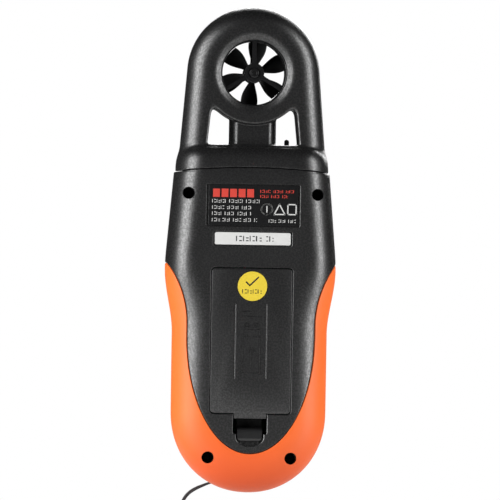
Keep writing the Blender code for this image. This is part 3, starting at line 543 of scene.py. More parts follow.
class Net:
    """Points and faces gathered for one mesh."""

    def __init__(self):
        self.points, self.faces = [], []

    def row(self, points):
        start = len(self.points)
        self.points += points
        return list(range(start, len(self.points)))

    def strip(self, low, high):
        self.faces += zip(low, low[1:], high[1:], high)

    def grid(self, rows, closed=False):
        """Rows of points joined by quads; closed joins the ends of each row."""
        numbers = [self.row(points) for points in rows]
        for low, high in zip(numbers, numbers[1:]):
            self.strip(low + low[:1] if closed else low, high + high[:1] if closed else high)
        return numbers

    def loft(self, rings):
        """A closed solid through rings of equal point counts, with flat ends."""
        numbers = self.grid(rings, closed=True)
        self.faces += [tuple(numbers[0]), tuple(numbers[-1])]
        return self

    def prism(self, outline, levels):
        """An (x, z) outline carried along Y; levels are (y, growth) pairs, growth moving it outward."""
        edges = [Vector(q) - Vector(p) for p, q in zip(outline[-1:] + outline, outline)]
        area = sum(p[0] * q[1] - q[0] * p[1] for p, q in zip(outline, outline[1:] + outline[:1]))
        flip = 1 if area > 0 else -1
        sides = [Vector((e.y, -e.x)).normalized() * flip for e in edges]
        corners = []
        for a, b in zip(sides, sides[1:] + sides[:1]):
            corners.append((a + b) / max(1 + a.dot(b), 0.3))
        return self.loft([[(p[0] + c.x * grow, y, p[1] + c.y * grow) for p, c in zip(outline, corners)]
                          for y, grow in levels])

    def turned(self, profile, centre=(0, 0), count=48):
        """A solid of revolution about an axis along Y, from (radius, y) pairs."""
        return self.loft([circle(centre, radius, y, count) for radius, y in profile])

    def piece(self, name, paint, sharp=30):
        return new_piece(name, self.points, self.faces, paint, sharp=sharp)


def circle(centre, radius, y, count):
    return [(centre[0] + radius * math.sin(math.tau * i / count), y,
             centre[1] + radius * math.cos(math.tau * i / count)) for i in range(count)]


def rounded_box(half_w, low, high, corner, steps=6, x=0.0):
    """Outline of a rectangle with round corners, as (x, z) points."""
    outline = []
    for cx, cz, start in ((half_w, high, 0), (-half_w, high, 90), (-half_w, low, 180), (half_w, low, 270)):
        mid_x = cx - math.copysign(corner, cx)
        mid_z = cz - corner if cz == high else cz + corner
        for step in range(steps + 1):
            angle = math.radians(start + 90 * step / steps)
            outline.append((x + mid_x + corner * math.cos(angle), mid_z + corner * math.sin(angle)))
    return outline


def combine(piece, tool, operation="DIFFERENCE"):
    """Apply an exact Boolean with the tool net and shade the result again."""
    other = tool.piece(piece.name + "_tool", Paint.blank())
    change = piece.modifiers.new(operation, "BOOLEAN")
    change.operation, change.solver, change.object = operation, "EXACT", other
    result = bpy.data.meshes.new_from_object(piece.evaluated_get(bpy.context.evaluated_depsgraph_get()))
    piece.modifiers.clear()
    piece.data = result
    bpy.data.objects.remove(other, do_unlink=True)
    while len(result.materials) > 1:
        result.materials.pop()
    work = bmesh.new()
    work.from_mesh(result)
    bmesh.ops.remove_doubles(work, verts=work.verts, dist=2e-6)
    bmesh.ops.dissolve_degenerate(work, edges=work.edges, dist=2e-6)
    work.to_mesh(result)
    work.free()
    result.shade_smooth()
    result.set_sharp_from_angle(angle=math.radians(30))
    return piece


def screw_places():
    for x, z in (TOP_SCREW, BOTTOM_SCREW):
        yield x, z
        yield -x, z


def cover_shell(tray, name, paint):
    """Outside and inside skins joined round the rim and along the split, where a tongue closes the gap."""
    net, last = Net(), len(tray.path) - 1
    outside = [net.row([tray.point(i, *row) for row in tray.cover_rows(i)]) for i in range(last + 1)]
    rows = len(outside[0])
    inside = [net.row([tray.point(i, math.pi / 2 * k / (rows - 1), WALL) for k in range(rows)])
              for i in range(last + 1)]
    for skin in (outside, inside):
        for a, b in zip(skin, skin[1:]):
            net.strip(a, b)
    low, crest = Vector((0, 0, 0)), Vector((0, tray.side * (TOUCH - HALF_GAP), 0))
    tongue = [net.row([tray.point(i, 0.0, offset) + lift for offset, lift in
                       ((1.7, low), (1.8, crest), (2.7, crest), (2.8, low))]) for i in range(last + 1)]
    edge = [[skin[0]] + ledge + [other[0]] for skin, ledge, other in zip(outside, tongue, inside)]
    for a, b in zip(edge, edge[1:]):
        net.strip(a, b)
    net.faces += [tuple(edge[0]), tuple(edge[-1])]

    def bridge(start, end):
        """Points along the arched rim between the two ends of the flat."""
        a, b = net.points[start], net.points[end]
        fall = a.z - seam_height(a.x)
        between = []
        for k in range(1, 24):
            x = a.x + (b.x - a.x) * k / 24
            between.append(Vector((x, a.y, seam_height(x) + fall)))
        return [start] + net.row(between) + [end]

    caps = [bridge(outside[level][-1], outside[last - level][-1]) for level in range(3)]
    for a, b in zip(caps, caps[1:]):
        net.strip(a, b)
    inner_cap = bridge(inside[0][-1], inside[last][-1])
    net.faces.append(tuple(caps[2] + [outside[i][-1] for i in range(last - 3, 2, -1)]))
    net.faces.append(tuple(inner_cap + [inside[i][-1] for i in range(last - 1, 0, -1)]))
    net.strip(outside[0] + caps[0][1:-1] + outside[last][::-1],
              inside[0] + inner_cap[1:-1] + inside[last][::-1])
    return net.piece(name, paint)


def grip_skin(tray, name, paint):
    """The soft skin over the flanks and the lower end, a closed strip with a rounded lip at the shield."""
    columns = [i for i, b in enumerate(tray.borders) if b is not None][1:-1]
    net, rings = Net(), []
    for i in columns:
        reach = edge_reach(tray.path[i][1])
        inward = max(tray.borders[i] - GROOVE / reach, 0.006)
        meet, lip = edge_turn(inward), edge_turn(max(inward - LIP / reach, 0.003))
        end = 0.22 if i in (columns[0], columns[-1]) else 0.0
        ring = [(0.0, GRIP_SKIN), (0.0, 0.22), (edge_turn(1e-6), 0.06)]
        ring += [(lip * (k / FLOOR_ROWS) ** 0.8, 0.0) for k in range(1, FLOOR_ROWS + 1)]
        ring += [(lip + (meet - lip) * a, b) for a, b in ((0.4, 0.02), (0.75, 0.08), (0.95, 0.2), (1.0, 0.4))]
        ring += [(meet * k / 8, GRIP_SKIN) for k in range(8, 0, -1)]
        rings.append([tray.point(i, turn, min(offset + end, GRIP_SKIN)) for turn, offset in ring])
    return net.loft(rings).piece(name, paint)


def abs_paint(name="grained_abs", tint=(0.0052, 0.0052, 0.0054), rough=0.36, grain=1.0):
    """Black ABS with a fine spark-eroded grain, which shows as sparkle where the light grazes it."""
    paint = Paint(name, tint, rough, specular_ior_level=0.75, coat_roughness=rough - 0.04)
    point = paint.point()
    fine = paint.noise(point, 1350.0, 2.0, 0.6)
    pits = paint.noise(point, 4200.0, 1.0)
    cloud = paint.noise(point, 45.0, 3.0)
    peaks = paint.node("ShaderNodeMapRange", {"clamp": True}, fine, 0.44, 0.60, 0.0, 1.0)
    paint.set("Coat Weight", peaks * grain)
    paint.set("Roughness", rough - 0.05 + pits * 0.1 + cloud * 0.04)
    paint.set("Base Color", paint.mix(cloud, tuple(c * 0.9 for c in tint), tuple(c * 1.15 for c in tint)))
    paint.bump(fine * 0.6 + pits * 0.4, 0.00011 * grain, 0.9)
    return paint


def grip_paint():
    """Orange thermoplastic rubber, matt, with painted shade that deepens and darkens its colour towards the
    lower end.
    """
    paint = Paint("orange_rubber", (0.87, 0.13, 0.018), 0.5, specular_ior_level=0.5, sheen_weight=0.12,
                  sheen_roughness=0.4, sheen_tint=(1.0, 0.55, 0.3, 1.0))
    point, _, _, z = paint.place()
    fine = paint.noise(point, 2600.0, 2.0, 0.6)
    cloud = paint.noise(point, 30.0, 3.0)
    # Painted shade: over the lowest 30 mm the colour fades to a darker, redder orange, where less light
    # falls.
    low = paint.node("ShaderNodeMapRange", {}, z, -0.052, -0.022, 1.0, 0.0)
    paint.set("Base Color", paint.mix(low * 0.8 + cloud * 0.2, (0.90, 0.152, 0.016), (0.66, 0.070, 0.007)))
    paint.set("Roughness", 0.46 + fine * 0.16)
    paint.bump(fine, 0.00004, 0.6)
    return paint


black_abs = abs_paint()
orange = grip_paint()
DOOR_HALF, DOOR_TOP, DOOR_BOTTOM, DOOR_CORNER = 16.8, 38.0, -22.1, 1.7
TAB_HALF, SLOT_BOTTOM, SCOOP_HALF, SCOOP_BOTTOM = 7.0, -30.3, 5.7, -35.2
CHAMFER = 0.28


def door_outline(grow=0.0):
    """The battery opening with the notch for the door's spring tongue below it."""
    box = rounded_box(DOOR_HALF + grow, DOOR_BOTTOM - grow, DOOR_TOP + grow, DOOR_CORNER + grow)
    half, low = TAB_HALF + grow, SLOT_BOTTOM - grow
    notch = [(-half, DOOR_BOTTOM - grow), (-half, low + 0.7), (-half + 0.2, low + 0.2), (-half + 0.7, low)]
    notch += [(-x, z) for x, z in reversed(notch)]
    cut_at = len(box) * 3 // 4
    return box[:cut_at] + notch + box[cut_at:]


def opening(net, outline, floor, surface, chamfer=CHAMFER):
    """A cutter with a small chamfer where it meets the surface at that Y."""
    away = math.copysign(1.0, surface)
    return net.prism(outline, [(floor, 0.0), (surface - away * chamfer, 0.0), (surface, chamfer),
                               (surface + away * 0.4, chamfer + 0.4)])


def scoop_cutter():
    """The thumb scoop: its floor climbs towards the lower end and carries five shallow ribs."""
    net, columns, rows = Net(), 48, 12
    top, bottom = [], []
    for i in range(columns + 1):
        x = SCOOP_HALF * math.sin(math.pi / 2 * (2 * i / columns - 1)) * 0.999
        low = SCOOP_BOTTOM + 3.6 - 3.6 * math.sqrt(1 - (x / SCOOP_HALF) ** 2)
        rib = 0.13 * max(math.cos(math.tau * x / 1.9), 0.0) if abs(x) < 4.6 else 0.0
        heights = [SLOT_BOTTOM + 1 + (low - SLOT_BOTTOM - 1) * k / rows for k in range(rows + 1)]
        bottom.append([Vector((x, 15.9 + rib + 0.9 * ease(k / rows), z)) for k, z in enumerate(heights)])
        top.append([Vector((x, 19.5, z)) for z in heights])
    low_side, high_side = net.grid(bottom), net.grid(top)
    net.strip(low_side[0], high_side[0])
    net.strip(low_side[-1], high_side[-1])
    for k in (0, -1):
        net.strip([column[k] for column in low_side], [column[k] for column in high_side])
    return net


def rear_half():
    tray = Tray(1, REAR_DEPTH)
    shell = cover_shell(tray, "rear_cover_shell", black_abs)
    posts, bores = Net(), Net()
    for x, z in screw_places():
        top = [(4.0, 10.8), (2.8, 13.2)] if z > 0 else [(4.0, 9.0), (2.7, 11.5)]
        posts.turned([(3.7, 0.3), (4.0, 0.6)] + top, (x, z), 32)
        bores.turned([(1.6, -1), (1.6, 9.0), (2.5, 9.0), (2.5, 20)], (x, z), 40)
    combine(shell, posts, "UNION")
    opening(bores, door_outline(), 12, REAR_DEPTH)
    opening(bores, rounded_box(*RATING_POCKET, 0.6), POCKET_FLOOR, REAR_DEPTH, 0.22)
    opening(bores, rounded_box(*SERIAL_POCKET, 0.8), POCKET_FLOOR, REAR_DEPTH, 0.22)
    combine(shell, bores)
    combine(shell, scoop_cutter())
    arc = [SCOOP_HALF * math.sin(math.pi / 2 * (k / 16 - 1)) for k in range(33)]
    rim = [(x, SCOOP_BOTTOM + 3.6 - 3.6 * math.sqrt(1 - (x / SCOOP_HALF) ** 2)) for x in arc]
    rim += [(SCOOP_HALF, SLOT_BOTTOM + 1), (-SCOOP_HALF, SLOT_BOTTOM + 1)]
    combine(shell, opening(Net(), rim, REAR_DEPTH - 0.5, REAR_DEPTH, 0.35))
    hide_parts("rear_cover")
    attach(shell, "case")

    grip = grip_skin(tray, "rear_grip_skin", orange)
    holes = Net()
    for sign in (1, -1):
        holes.turned([(2.5, 10), (2.5, 20)], (sign * BOTTOM_SCREW[0], BOTTOM_SCREW[1]), 40)
    combine(grip, holes)
    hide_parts("rear_grip")
    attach(grip, "case")


rear_half()

# ==== head shells ====
# The head is moulded in two ABS halves: a shoulder that sits on the covers, two limbs and an arch round the
# vane, a stem in the middle. All its corners are soft, so its wall is worked out as one smooth field and
# then meshed.
VANE_Z = 118.1
ARCH_R, ARCH_DRAFT, ARCH_DEPTH, ARCH_EDGE, ARCH_POWER = 27.3, math.radians(4.67), 11.0, 9.4, 2.2
SHOULDER_TOP, SHOULDER_HALF, SHOULDER_DEPTH, SHOULDER_TAPER = 88.1, 31.5, 17.7, 0.012
NECK_BOTTOM, NECK_INSET, HEAD_WALL = 73.0, 3.8, 2.2
STEM_HALF_WIDTH, STEM_DEPTH, STEM_EDGE, RING_R = 9.7, 7.5, 3.8, 21.2
WINDOW_LOW, WINDOW_HIGH, WINDOW_CORNER = 19.0, 18.1, 1.8
BORE_R, LIP_R, FUNNEL_R, LIP_Y, FUNNEL_Y = 14.8, 13.4, 16.3, 9.1, 9.5
PEG_X, PEG_HOLE_R = -14.2, 1.3
CELL = 0.4


def soft_min(a, b, soft):
    mix = np.maximum(soft - np.abs(a - b), 0.0) / soft
    return np.minimum(a, b) - mix * mix * soft / 4


def soft_max(a, b, soft):
    return -soft_min(-a, -b, soft)


def pillow(inside, y, reach, depth, power):
    """About the signed distance to a slab whose edge bends over; inside is the distance from its outline."""
    across = np.maximum(reach - inside, 0.0) / reach
    up = np.maximum(y, 0.0) / depth
    size = np.maximum((across ** power + up ** power) ** (1 / power), 1e-6)
    slope_a = (across / size) ** (power - 1) / reach
    slope_u = (up / size) ** (power - 1) / depth
    return (size - 1) / np.maximum(np.sqrt(slope_a ** 2 + slope_u ** 2), 1e-3)


def head_field(x, y, z, depth):
    """Negative inside the plastic of a solid head half; y runs outward from the split."""
    wide, high = np.abs(x), z - VANE_Z
    radius = np.sqrt(x * x + high * high)
    above = high * math.cos(ARCH_DRAFT) > wide * math.sin(ARCH_DRAFT)
    limb = wide * math.cos(ARCH_DRAFT) + high * math.sin(ARCH_DRAFT)
    arch = pillow(ARCH_R - np.where(above, radius, limb), y, ARCH_EDGE, ARCH_DEPTH, ARCH_POWER)
    arch = soft_max(arch, SHOULDER_TOP - 6 - z, 0.5)
    lean = (WINDOW_LOW - WINDOW_HIGH) / (VANE_Z - RING_R - SHOULDER_TOP)
    outer = wide - (WINDOW_LOW - (z - SHOULDER_TOP) * lean)
    room = soft_max(soft_max(outer, RING_R - radius, WINDOW_CORNER * 2.4), SHOULDER_TOP - z, 1.6)
    room = np.maximum(room, high)
    web = soft_max(arch, -room, 1.1)
    stem = soft_max(pillow(STEM_HALF_WIDTH - wide, y, STEM_EDGE, STEM_DEPTH, 2.0), high + RING_R - 4, 0.5)
    stem = soft_max(stem, SHOULDER_TOP - 6 - z, 0.5)
    taper = np.maximum(z - 79, 0) * SHOULDER_TAPER
    shoulder = pillow(SHOULDER_HALF - taper - wide, y, EDGE_TOP, depth, EDGE_POWER)
    shoulder = soft_max(shoulder, z - SHOULDER_TOP, 9.5)
    shoulder = soft_max(shoulder, seam_height(x) + 0.3 - z, 0.5)
    neck_half = TOP_HALF_WIDTH - NECK_INSET
    neck = pillow(neck_half - wide, y, EDGE_TOP, depth + 0.8 - NECK_INSET, EDGE_POWER)
    neck = np.maximum(neck, z - 82)
    body = np.minimum(soft_min(soft_min(web, stem, 0.7), shoulder, 1.5), neck)
    body = np.maximum(body, -np.maximum(radius - BORE_R, y - LIP_Y))
    body = soft_max(body, LIP_R - radius, 0.4)
    funnel = (FUNNEL_R - LIP_R) / (ARCH_DEPTH - FUNNEL_Y)
    cone = (LIP_R + (y - FUNNEL_Y) * funnel - radius) / math.sqrt(1 + funnel * funnel)
    return soft_max(body, cone, 0.5)


def head_shell(x, y, z, depth):
    """The head half as a wall, open along the split and at the neck, with the hole for the sensor peg."""
    solid = head_field(x, y, z, depth)
    shell = np.maximum(solid, -(solid + HEAD_WALL))
    tongue = np.clip((-solid - 0.7) / 0.4, 0.0, 1.0)
    shell = np.maximum(np.maximum(shell, NECK_BOTTOM - z), HALF_GAP + (TOUCH - HALF_GAP) * tongue - y)
    peg = PEG_HOLE_R - np.sqrt((x - PEG_X) ** 2 + y * y)
    return np.maximum(shell, np.where(z > 80, peg, -5.0))


def field_mesh(field, low, high, cell):
    """Mesh the zero surface: one point in every grid cell that it crosses, then slid onto the surface."""
    axes = [np.arange(a, b + cell, cell) for a, b in zip(low, high)]
    values = field(*np.meshgrid(*axes, indexing="ij"))
    inside = values < 0
    shape = [n - 1 for n in inside.shape]
    total, count = np.zeros((*shape, 3)), np.zeros(shape)
    crossings = []
    for axis in range(3):
        near = [slice(None)] * 3
        far = [slice(None)] * 3
        near[axis], far[axis] = slice(None, -1), slice(1, None)
        a, b = values[tuple(near)], values[tuple(far)]
        crossed = (a < 0) != (b < 0)
        share = np.where(crossed, a / np.where(a == b, 1, a - b), 0.0)
        crossings.append((crossed, inside[tuple(near)]))
        others = [k for k in range(3) if k != axis]
        for first in (0, 1):
            for second in (0, 1):
                pick = [slice(None)] * 3
                pick[others[0]] = slice(first, first + shape[others[0]])
                pick[others[1]] = slice(second, second + shape[others[1]])
                hit = crossed[tuple(pick)]
                total[..., axis] += hit * share[tuple(pick)]
                total[..., others[0]] += hit * first
                total[..., others[1]] += hit * second
                count += hit
    used = count > 0
    number = np.full(shape, -1)
    number[used] = np.arange(used.sum())
    cells = np.argwhere(used)
    points = (cells + total[used] / count[used][:, None]) * cell + np.array([axis[0] for axis in axes])
    faces = []
    for axis, (crossed, starts_inside) in enumerate(crossings):
        u, v = (axis + 1) % 3, (axis + 2) % 3
        spots = np.argwhere(crossed)
        for across in (u, v):
            spots = spots[(spots[:, across] > 0) & (spots[:, across] < shape[across])]
        ring = []
        for du, dv in ((0, 0), (1, 0), (1, 1), (0, 1)):
            corner = spots.copy()
            corner[:, u] -= du
            corner[:, v] -= dv
            ring.append(number[tuple(corner.T)])
        quads = np.stack(ring, axis=1)
        outward = starts_inside[tuple(spots.T)]
        faces.append(np.where(outward[:, None], quads, quads[:, ::-1]))
    for _ in range(3):
        value, slope = field_slope(field, points)
        points -= np.clip(value / np.maximum((slope ** 2).sum(1), 0.2), -cell, cell)[:, None] * slope
    return points, np.concatenate(faces), field_slope(field, points)[1]


def field_slope(field, points, step=0.02):
    value = field(*points.T)
    slope = np.stack([(field(*(points + step * axis).T) - field(*(points - step * axis).T)) / (2 * step)
                      for axis in np.eye(3)], axis=1)
    return value, slope


def field_piece(name, field, low, high, paint, side, cell=CELL):
    """A mesh piece from a field, mirrored to its side of the split and shaded by the field's own slope."""
    points, faces, slope = field_mesh(field, low, high, cell)
    points, slope = points * (1, side, 1), slope * (1, side, 1)
    mesh = bpy.data.meshes.new(name)
    mesh.from_pydata((points * MM).tolist(), [], (faces if side > 0 else faces[:, ::-1]).tolist())
    mesh.materials.append(paint.material)
    mesh.shade_smooth()
    lengths = np.maximum(np.linalg.norm(slope, axis=1), 1e-6)
    mesh.normals_split_custom_set_from_vertices((slope / lengths[:, None]).tolist())
    piece = bpy.data.objects.new(name, mesh)
    bpy.context.scene.collection.objects.link(piece)
    return piece


def make_head():
    for name, side, node in (("head_rear_wall", 1, "head_rear_shell"),
                             ("head_front_wall", -1, "head_front_shell")):
        depth = SHOULDER_DEPTH - (0 if side > 0 else REAR_DEPTH - FRONT_DEPTH)
        shell = field_piece(name, lambda x, y, z: head_shell(x, y, z, depth), (-33, -0.5, 72),
                            (33, 19, 146.4), black_abs, side)
        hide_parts(node)
        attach(shell, "case")


make_head()

# ==== vane ====
# A pull-out cartridge moulded in black plastic: a thin duct, a three-armed spider on each face that holds the
# bearings, and a six-bladed impeller with twisted blades that widen to their tips, on a steel shaft.
DUCT_R_IN, DUCT_R_OUT, DUCT_HALF = 13.1, 14.5, 6.9
SPIDER_Y0, SPIDER_Y1, HUB_R = 7.2, 8.8, 4.1
BLADES, BLADE_TIP, BLADE_PHASE = 6, 12.9, math.radians(7.5)


def polar(radius, angle):
    """A point on the vane's face: the angle runs from straight up towards -X."""
    return -radius * math.sin(angle), VANE_Z + radius * math.cos(angle)


def vane_paint(name, tint, rough):
    paint = Paint(name, tint, rough)
    point = paint.point()
    fine = paint.noise(point, 2600.0, 2.0)
    cloud = paint.noise(point, 160.0, 2.0)
    paint.set("Base Color", paint.mix(cloud, tuple(c * 0.8 for c in tint), tuple(c * 1.3 for c in tint)))
    paint.set("Roughness", rough - 0.05 + fine * 0.12)
    paint.bump(fine, 0.00002, 0.5)
    return paint


def hollow(profile, count=96):
    """A hollow turned net from a closed loop of (radius, y)."""
    net = Net()
    rings = [circle((0, VANE_Z), radius, y, count) for radius, y in profile]
    numbers = net.grid(rings, closed=True)
    net.strip(numbers[-1] + numbers[-1][:1], numbers[0] + numbers[0][:1])
    return net


def strut(net, angle, y0, y1):
    """One arm of a spider: narrow at the face, with a rounded back, widening into the rim and the hub."""
    across = Vector((math.cos(angle), math.sin(angle)))
    section = ((-1, 0), (-1, 0.72), (-0.78, 0.94), (-0.3, 1), (0.3, 1), (0.78, 0.94), (1, 0.72), (1, 0))
    rings = []
    for k in range(13):
        t = k / 12
        radius = 2.6 + (DUCT_R_IN + 0.6 - 2.6) * t
        half = 0.92 + 0.35 * max(0, (0.3 - t) / 0.3) ** 2 + 0.5 * max(0, (t - 0.85) / 0.15) ** 2
        spine = Vector(polar(radius, angle))
        ring = []
        for u, v in section:
            flat = spine + across * (u * half)
            ring.append((flat.x, y0 + (y1 - y0) * v, flat.y))
        rings.append(ring)
    net.loft(rings)


def make_spider(name, side, paint):
    y0, y1 = side * SPIDER_Y0, side * SPIDER_Y1
    rim = hollow([(DUCT_R_IN, y0), (DUCT_R_OUT, y0), (DUCT_R_OUT, y1 - side * 0.2), (DUCT_R_OUT - 0.2, y1),
                  (DUCT_R_IN + 0.25, y1), (DUCT_R_IN, y1 - side * 0.25)])
    piece = rim.piece(name + "_rim", paint)
    arms, hub = Net(), Net()
    for arm in range(3):
        strut(arms, math.tau * arm / 3, y0 + side * 0.15, y1 - side * 0.1)
    boss = [(HUB_R, -0.35), (HUB_R - 0.12, -0.1), (HUB_R - 0.4, 0.0), (2.35, 0.0), (2.25, -0.28),
            (1.95, -0.28), (1.85, 0.45), (1.65, 0.55), (1.15, 0.55), (0.95, 0.3), (0.3, 0.3)]
    hub.turned([(HUB_R, y0)] + [(radius, y1 + side * rise) for radius, rise in boss], (0, VANE_Z), 64)
    combine(piece, arms, "UNION")
    combine(piece, hub, "UNION")
    combine(piece, Net().turned([(1.5, y0 - side), (1.5, y1 - side * 0.3)], (0, VANE_Z), 32))
    return piece


def blade(net, angle):
    """One twisted blade: narrow at the hub, widest at the tip, with its leading edge bowed forward."""
    rings = []
    for k in range(15):
        t = k / 14
        radius = 3.0 + (BLADE_TIP - 3.0) * t
        pitch = math.radians(34 + 14 * t)
        seen = 0.9 + 2.75 * math.sin(math.pi / 2 * min(1.05 * t, 1.0)) ** 1.25
        half_chord = seen / math.sin(pitch)
        sweep = 0.28 * math.sin(math.pi * t)
        ring = []
        for turn in range(18):
            around = math.tau * turn / 18
            along, across = math.cos(around), math.sin(around)
            thick = 0.42 - 0.16 * t
            camber = 0.5 * (1 - along * along)
            u = (along * half_chord + sweep) * math.sin(pitch) + (across * thick + camber) * math.cos(pitch)
            v = along * half_chord * math.cos(pitch) - (across * thick + camber) * math.sin(pitch)
            x, z = polar(radius, angle + math.asin(max(-1.0, min(1.0, u / radius))))
            ring.append((x, v, z))
        rings.append(ring)
    net.loft(rings)


def make_vane():
    frame_paint = vane_paint("vane_frame_plastic", (0.008, 0.008, 0.0084), 0.22)
    blade_paint = vane_paint("vane_blade_plastic", (0.007, 0.007, 0.0075), 0.42)
    duct = hollow([(DUCT_R_IN + 0.2, -DUCT_HALF), (DUCT_R_OUT - 0.2, -DUCT_HALF),
                   (DUCT_R_OUT, -DUCT_HALF + 0.2), (DUCT_R_OUT, DUCT_HALF - 0.2),
                   (DUCT_R_OUT - 0.2, DUCT_HALF), (DUCT_R_IN + 0.2, DUCT_HALF),
                   (DUCT_R_IN, DUCT_HALF - 0.2), (DUCT_R_IN, -DUCT_HALF + 0.2)])
    pieces = [(duct.piece("duct_ring", frame_paint), "vane_duct", "case"),
              (make_spider("rear_arms", 1, frame_paint), "rear_spider", "case"),
              (make_spider("front_arms", -1, frame_paint), "front_spider", "case")]
    hub = Net().turned([(2.4, -3.6), (3.4, -3.3), (3.75, -2.7), (3.75, 2.7), (3.4, 3.3), (2.4, 3.6)],
                       (0, VANE_Z), 48)
    wheel = hub.piece("impeller_wheel", blade_paint)
    for k in range(BLADES):
        petal = Net()
        blade(petal, BLADE_PHASE + math.tau * k / BLADES)
        combine(wheel, petal, "UNION")
    combine(wheel, Net().turned([(0.9, -5), (0.9, 5)], (0, VANE_Z), 24))
    pieces.append((wheel, "impeller", "vane"))
    for piece, node, body in pieces:
        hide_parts(node)
        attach(piece, body)
    brass = steel_paint("bearing_brass", (0.72, 0.50, 0.20), 0.28)
    repaint(brass, "rear_bearing", "front_bearing")
    repaint(steel, "impeller_shaft")
    repaint(frame_paint, "temperature_sensor")


make_vane()

# ==== battery door and latch ====
# The door is moulded in the same grained ABS, flush with the cover. Two thin ridges and a raised battery
# sign mark it, and its U-shaped spring tongue is pressed upward to let it swing out.
DOOR_GAP, DOOR_THICK, LATCH_HALF = 0.3, 2.0, 5.2
RIDGE_X, RIDGE_LOW, RIDGE_HIGH, RIDGE_HALF = 6.4, -7.6, 23.1, 0.26
HOOK_NEAR, HOOK_FAR = 8.0, 12.0
STICKER_X, STICKER_Z, STICKER_R = -0.2, 30.4, 6.05


def slab(net, x, y, z, ease_by=0.2):
    """A box whose outer face, at the second y, has eased edges."""
    (x0, x1), (y0, y1), (z0, z1) = x, y, z
    up = math.copysign(ease_by, y1 - y0)
    rings = []
    for level, inset in ((y0, 0.0), (y1 - up, 0.0), (y1 - up * 0.3, ease_by * 0.3), (y1, ease_by)):
        rings.append([(x0 + inset, level, z0 + inset), (x1 - inset, level, z0 + inset),
                      (x1 - inset, level, z1 - inset), (x0 + inset, level, z1 - inset)])
    return net.loft(rings)


def stroke(net, points, half, y0, y1, crest=1.0):
    """A raised line of that half width through (x, z) points, in short bars; crest narrows its outer face."""
    for (ax, az), (bx, bz) in zip(points, points[1:]):
        along = (Vector((bx, bz)) - Vector((ax, az))).normalized()
        across = Vector((-along.y, along.x)) * half
        start, end = Vector((ax, az)) - along * half, Vector((bx, bz)) + along * half
        bars = []
        for y, share in ((y0, 1.0), (y1, crest)):
            shift = across * share
            corners = [start - shift, end - shift, end + shift, start + shift]
            bars.append([(c.x, y, c.y) for c in corners])
        net.loft(bars)


def ring_line(x, z, radius, count):
    """The points of a closed circle, for stroke."""
    return [(x + radius * math.cos(math.tau * i / count), z + radius * math.sin(math.tau * i / count))
            for i in range(count + 1)]


def battery_sign():
    """A raised outline of the block battery with its two studs, a plus, a minus and an arrow."""
    sign, low, high, crest = Net(), REAR_DEPTH - 0.1, REAR_DEPTH + 0.26, 0.35
    body = [(3.6, -5.2), (3.6, 12.6), (-3.6, 12.6), (-3.6, -5.2), (3.6, -5.2)]
    stroke(sign, body, 0.17, low, high, crest)
    for x in (1.9, -1.9):
        stroke(sign, ring_line(x, 14.4, 0.9, 12), 0.15, low, high, crest)
    for line in ([(1.9, 8.6), (1.9, 10.8)], [(0.8, 9.7), (3.0, 9.7)], [(-0.8, 9.7), (-3.0, 9.7)],
                 [(0.0, -2.8), (0.0, 5.4)], [(-1.7, 3.6), (0.0, 5.4), (1.7, 3.6)],
                 [(3.6, 18.0), (-3.6, 18.0)], [(3.6, 20.0), (0.4, 20.0)]):
        stroke(sign, line, 0.16, low, high, crest)
    return sign


def make_door():
    half, low, high = DOOR_HALF - DOOR_GAP, DOOR_BOTTOM + DOOR_GAP, DOOR_TOP - DOOR_GAP
    inside = REAR_DEPTH - DOOR_THICK
    levels = [(inside, -0.2), (inside + 0.2, 0.0), (REAR_DEPTH - 0.3, 0.0), (REAR_DEPTH - 0.1, -0.08),
              (REAR_DEPTH, -0.3)]
    outline = rounded_box(half, low, high, DOOR_CORNER)
    panel = Net().prism(outline, levels).piece("battery_door_panel", black_abs)
    tab = slab(Net(), (-TAB_HALF + DOOR_GAP, TAB_HALF - DOOR_GAP), (inside, REAR_DEPTH - 0.02),
               (DOOR_BOTTOM - 1.8, low + 1))
    root = slab(Net(), (-LATCH_HALF, LATCH_HALF), (inside + 0.5, 15.4),
                (DOOR_BOTTOM - 1.75, DOOR_BOTTOM - 0.6))
    combine(panel, tab, "UNION")
    combine(panel, root, "UNION")
    hook_section = [(13.2, high - 1.4), (inside + 0.5, high - 1.4), (inside + 0.5, high - 0.2),
                    (14.8, high - 0.2), (14.5, high + 2.3), (14.1, high + 2.6), (13.4, high + 2.6),
                    (13.2, high + 2.3)]
    ridge = ((-RIDGE_HALF, RIDGE_LOW), (RIDGE_HALF, RIDGE_LOW),
             (RIDGE_HALF, RIDGE_HIGH), (-RIDGE_HALF, RIDGE_HIGH))
    crest = [(REAR_DEPTH - 0.2, 0.0), (REAR_DEPTH + 0.1, 0.0), (REAR_DEPTH + 0.22, -0.12)]
    ridges = Net()
    for sign in (1, -1):
        sides = sorted((sign * HOOK_NEAR, sign * HOOK_FAR))
        hook = Net().loft([[(x, y, z) for y, z in hook_section] for x in sides])
        combine(panel, hook, "UNION")
        ridges.prism([(sign * RIDGE_X + dx, z) for dx, z in ridge], crest)
    combine(panel, ridges, "UNION")
    seat = Net().turned([(STICKER_R + 0.3, REAR_DEPTH - 0.12), (STICKER_R + 0.3, REAR_DEPTH + 0.05),
                         (STICKER_R + 0.9, REAR_DEPTH + 0.6)], (STICKER_X, STICKER_Z), 64)
    combine(panel, seat)
    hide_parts("battery_door")
    marks = battery_sign().piece("battery_sign_relief", black_abs)
    for piece in (panel, marks):
        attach(piece, "door")


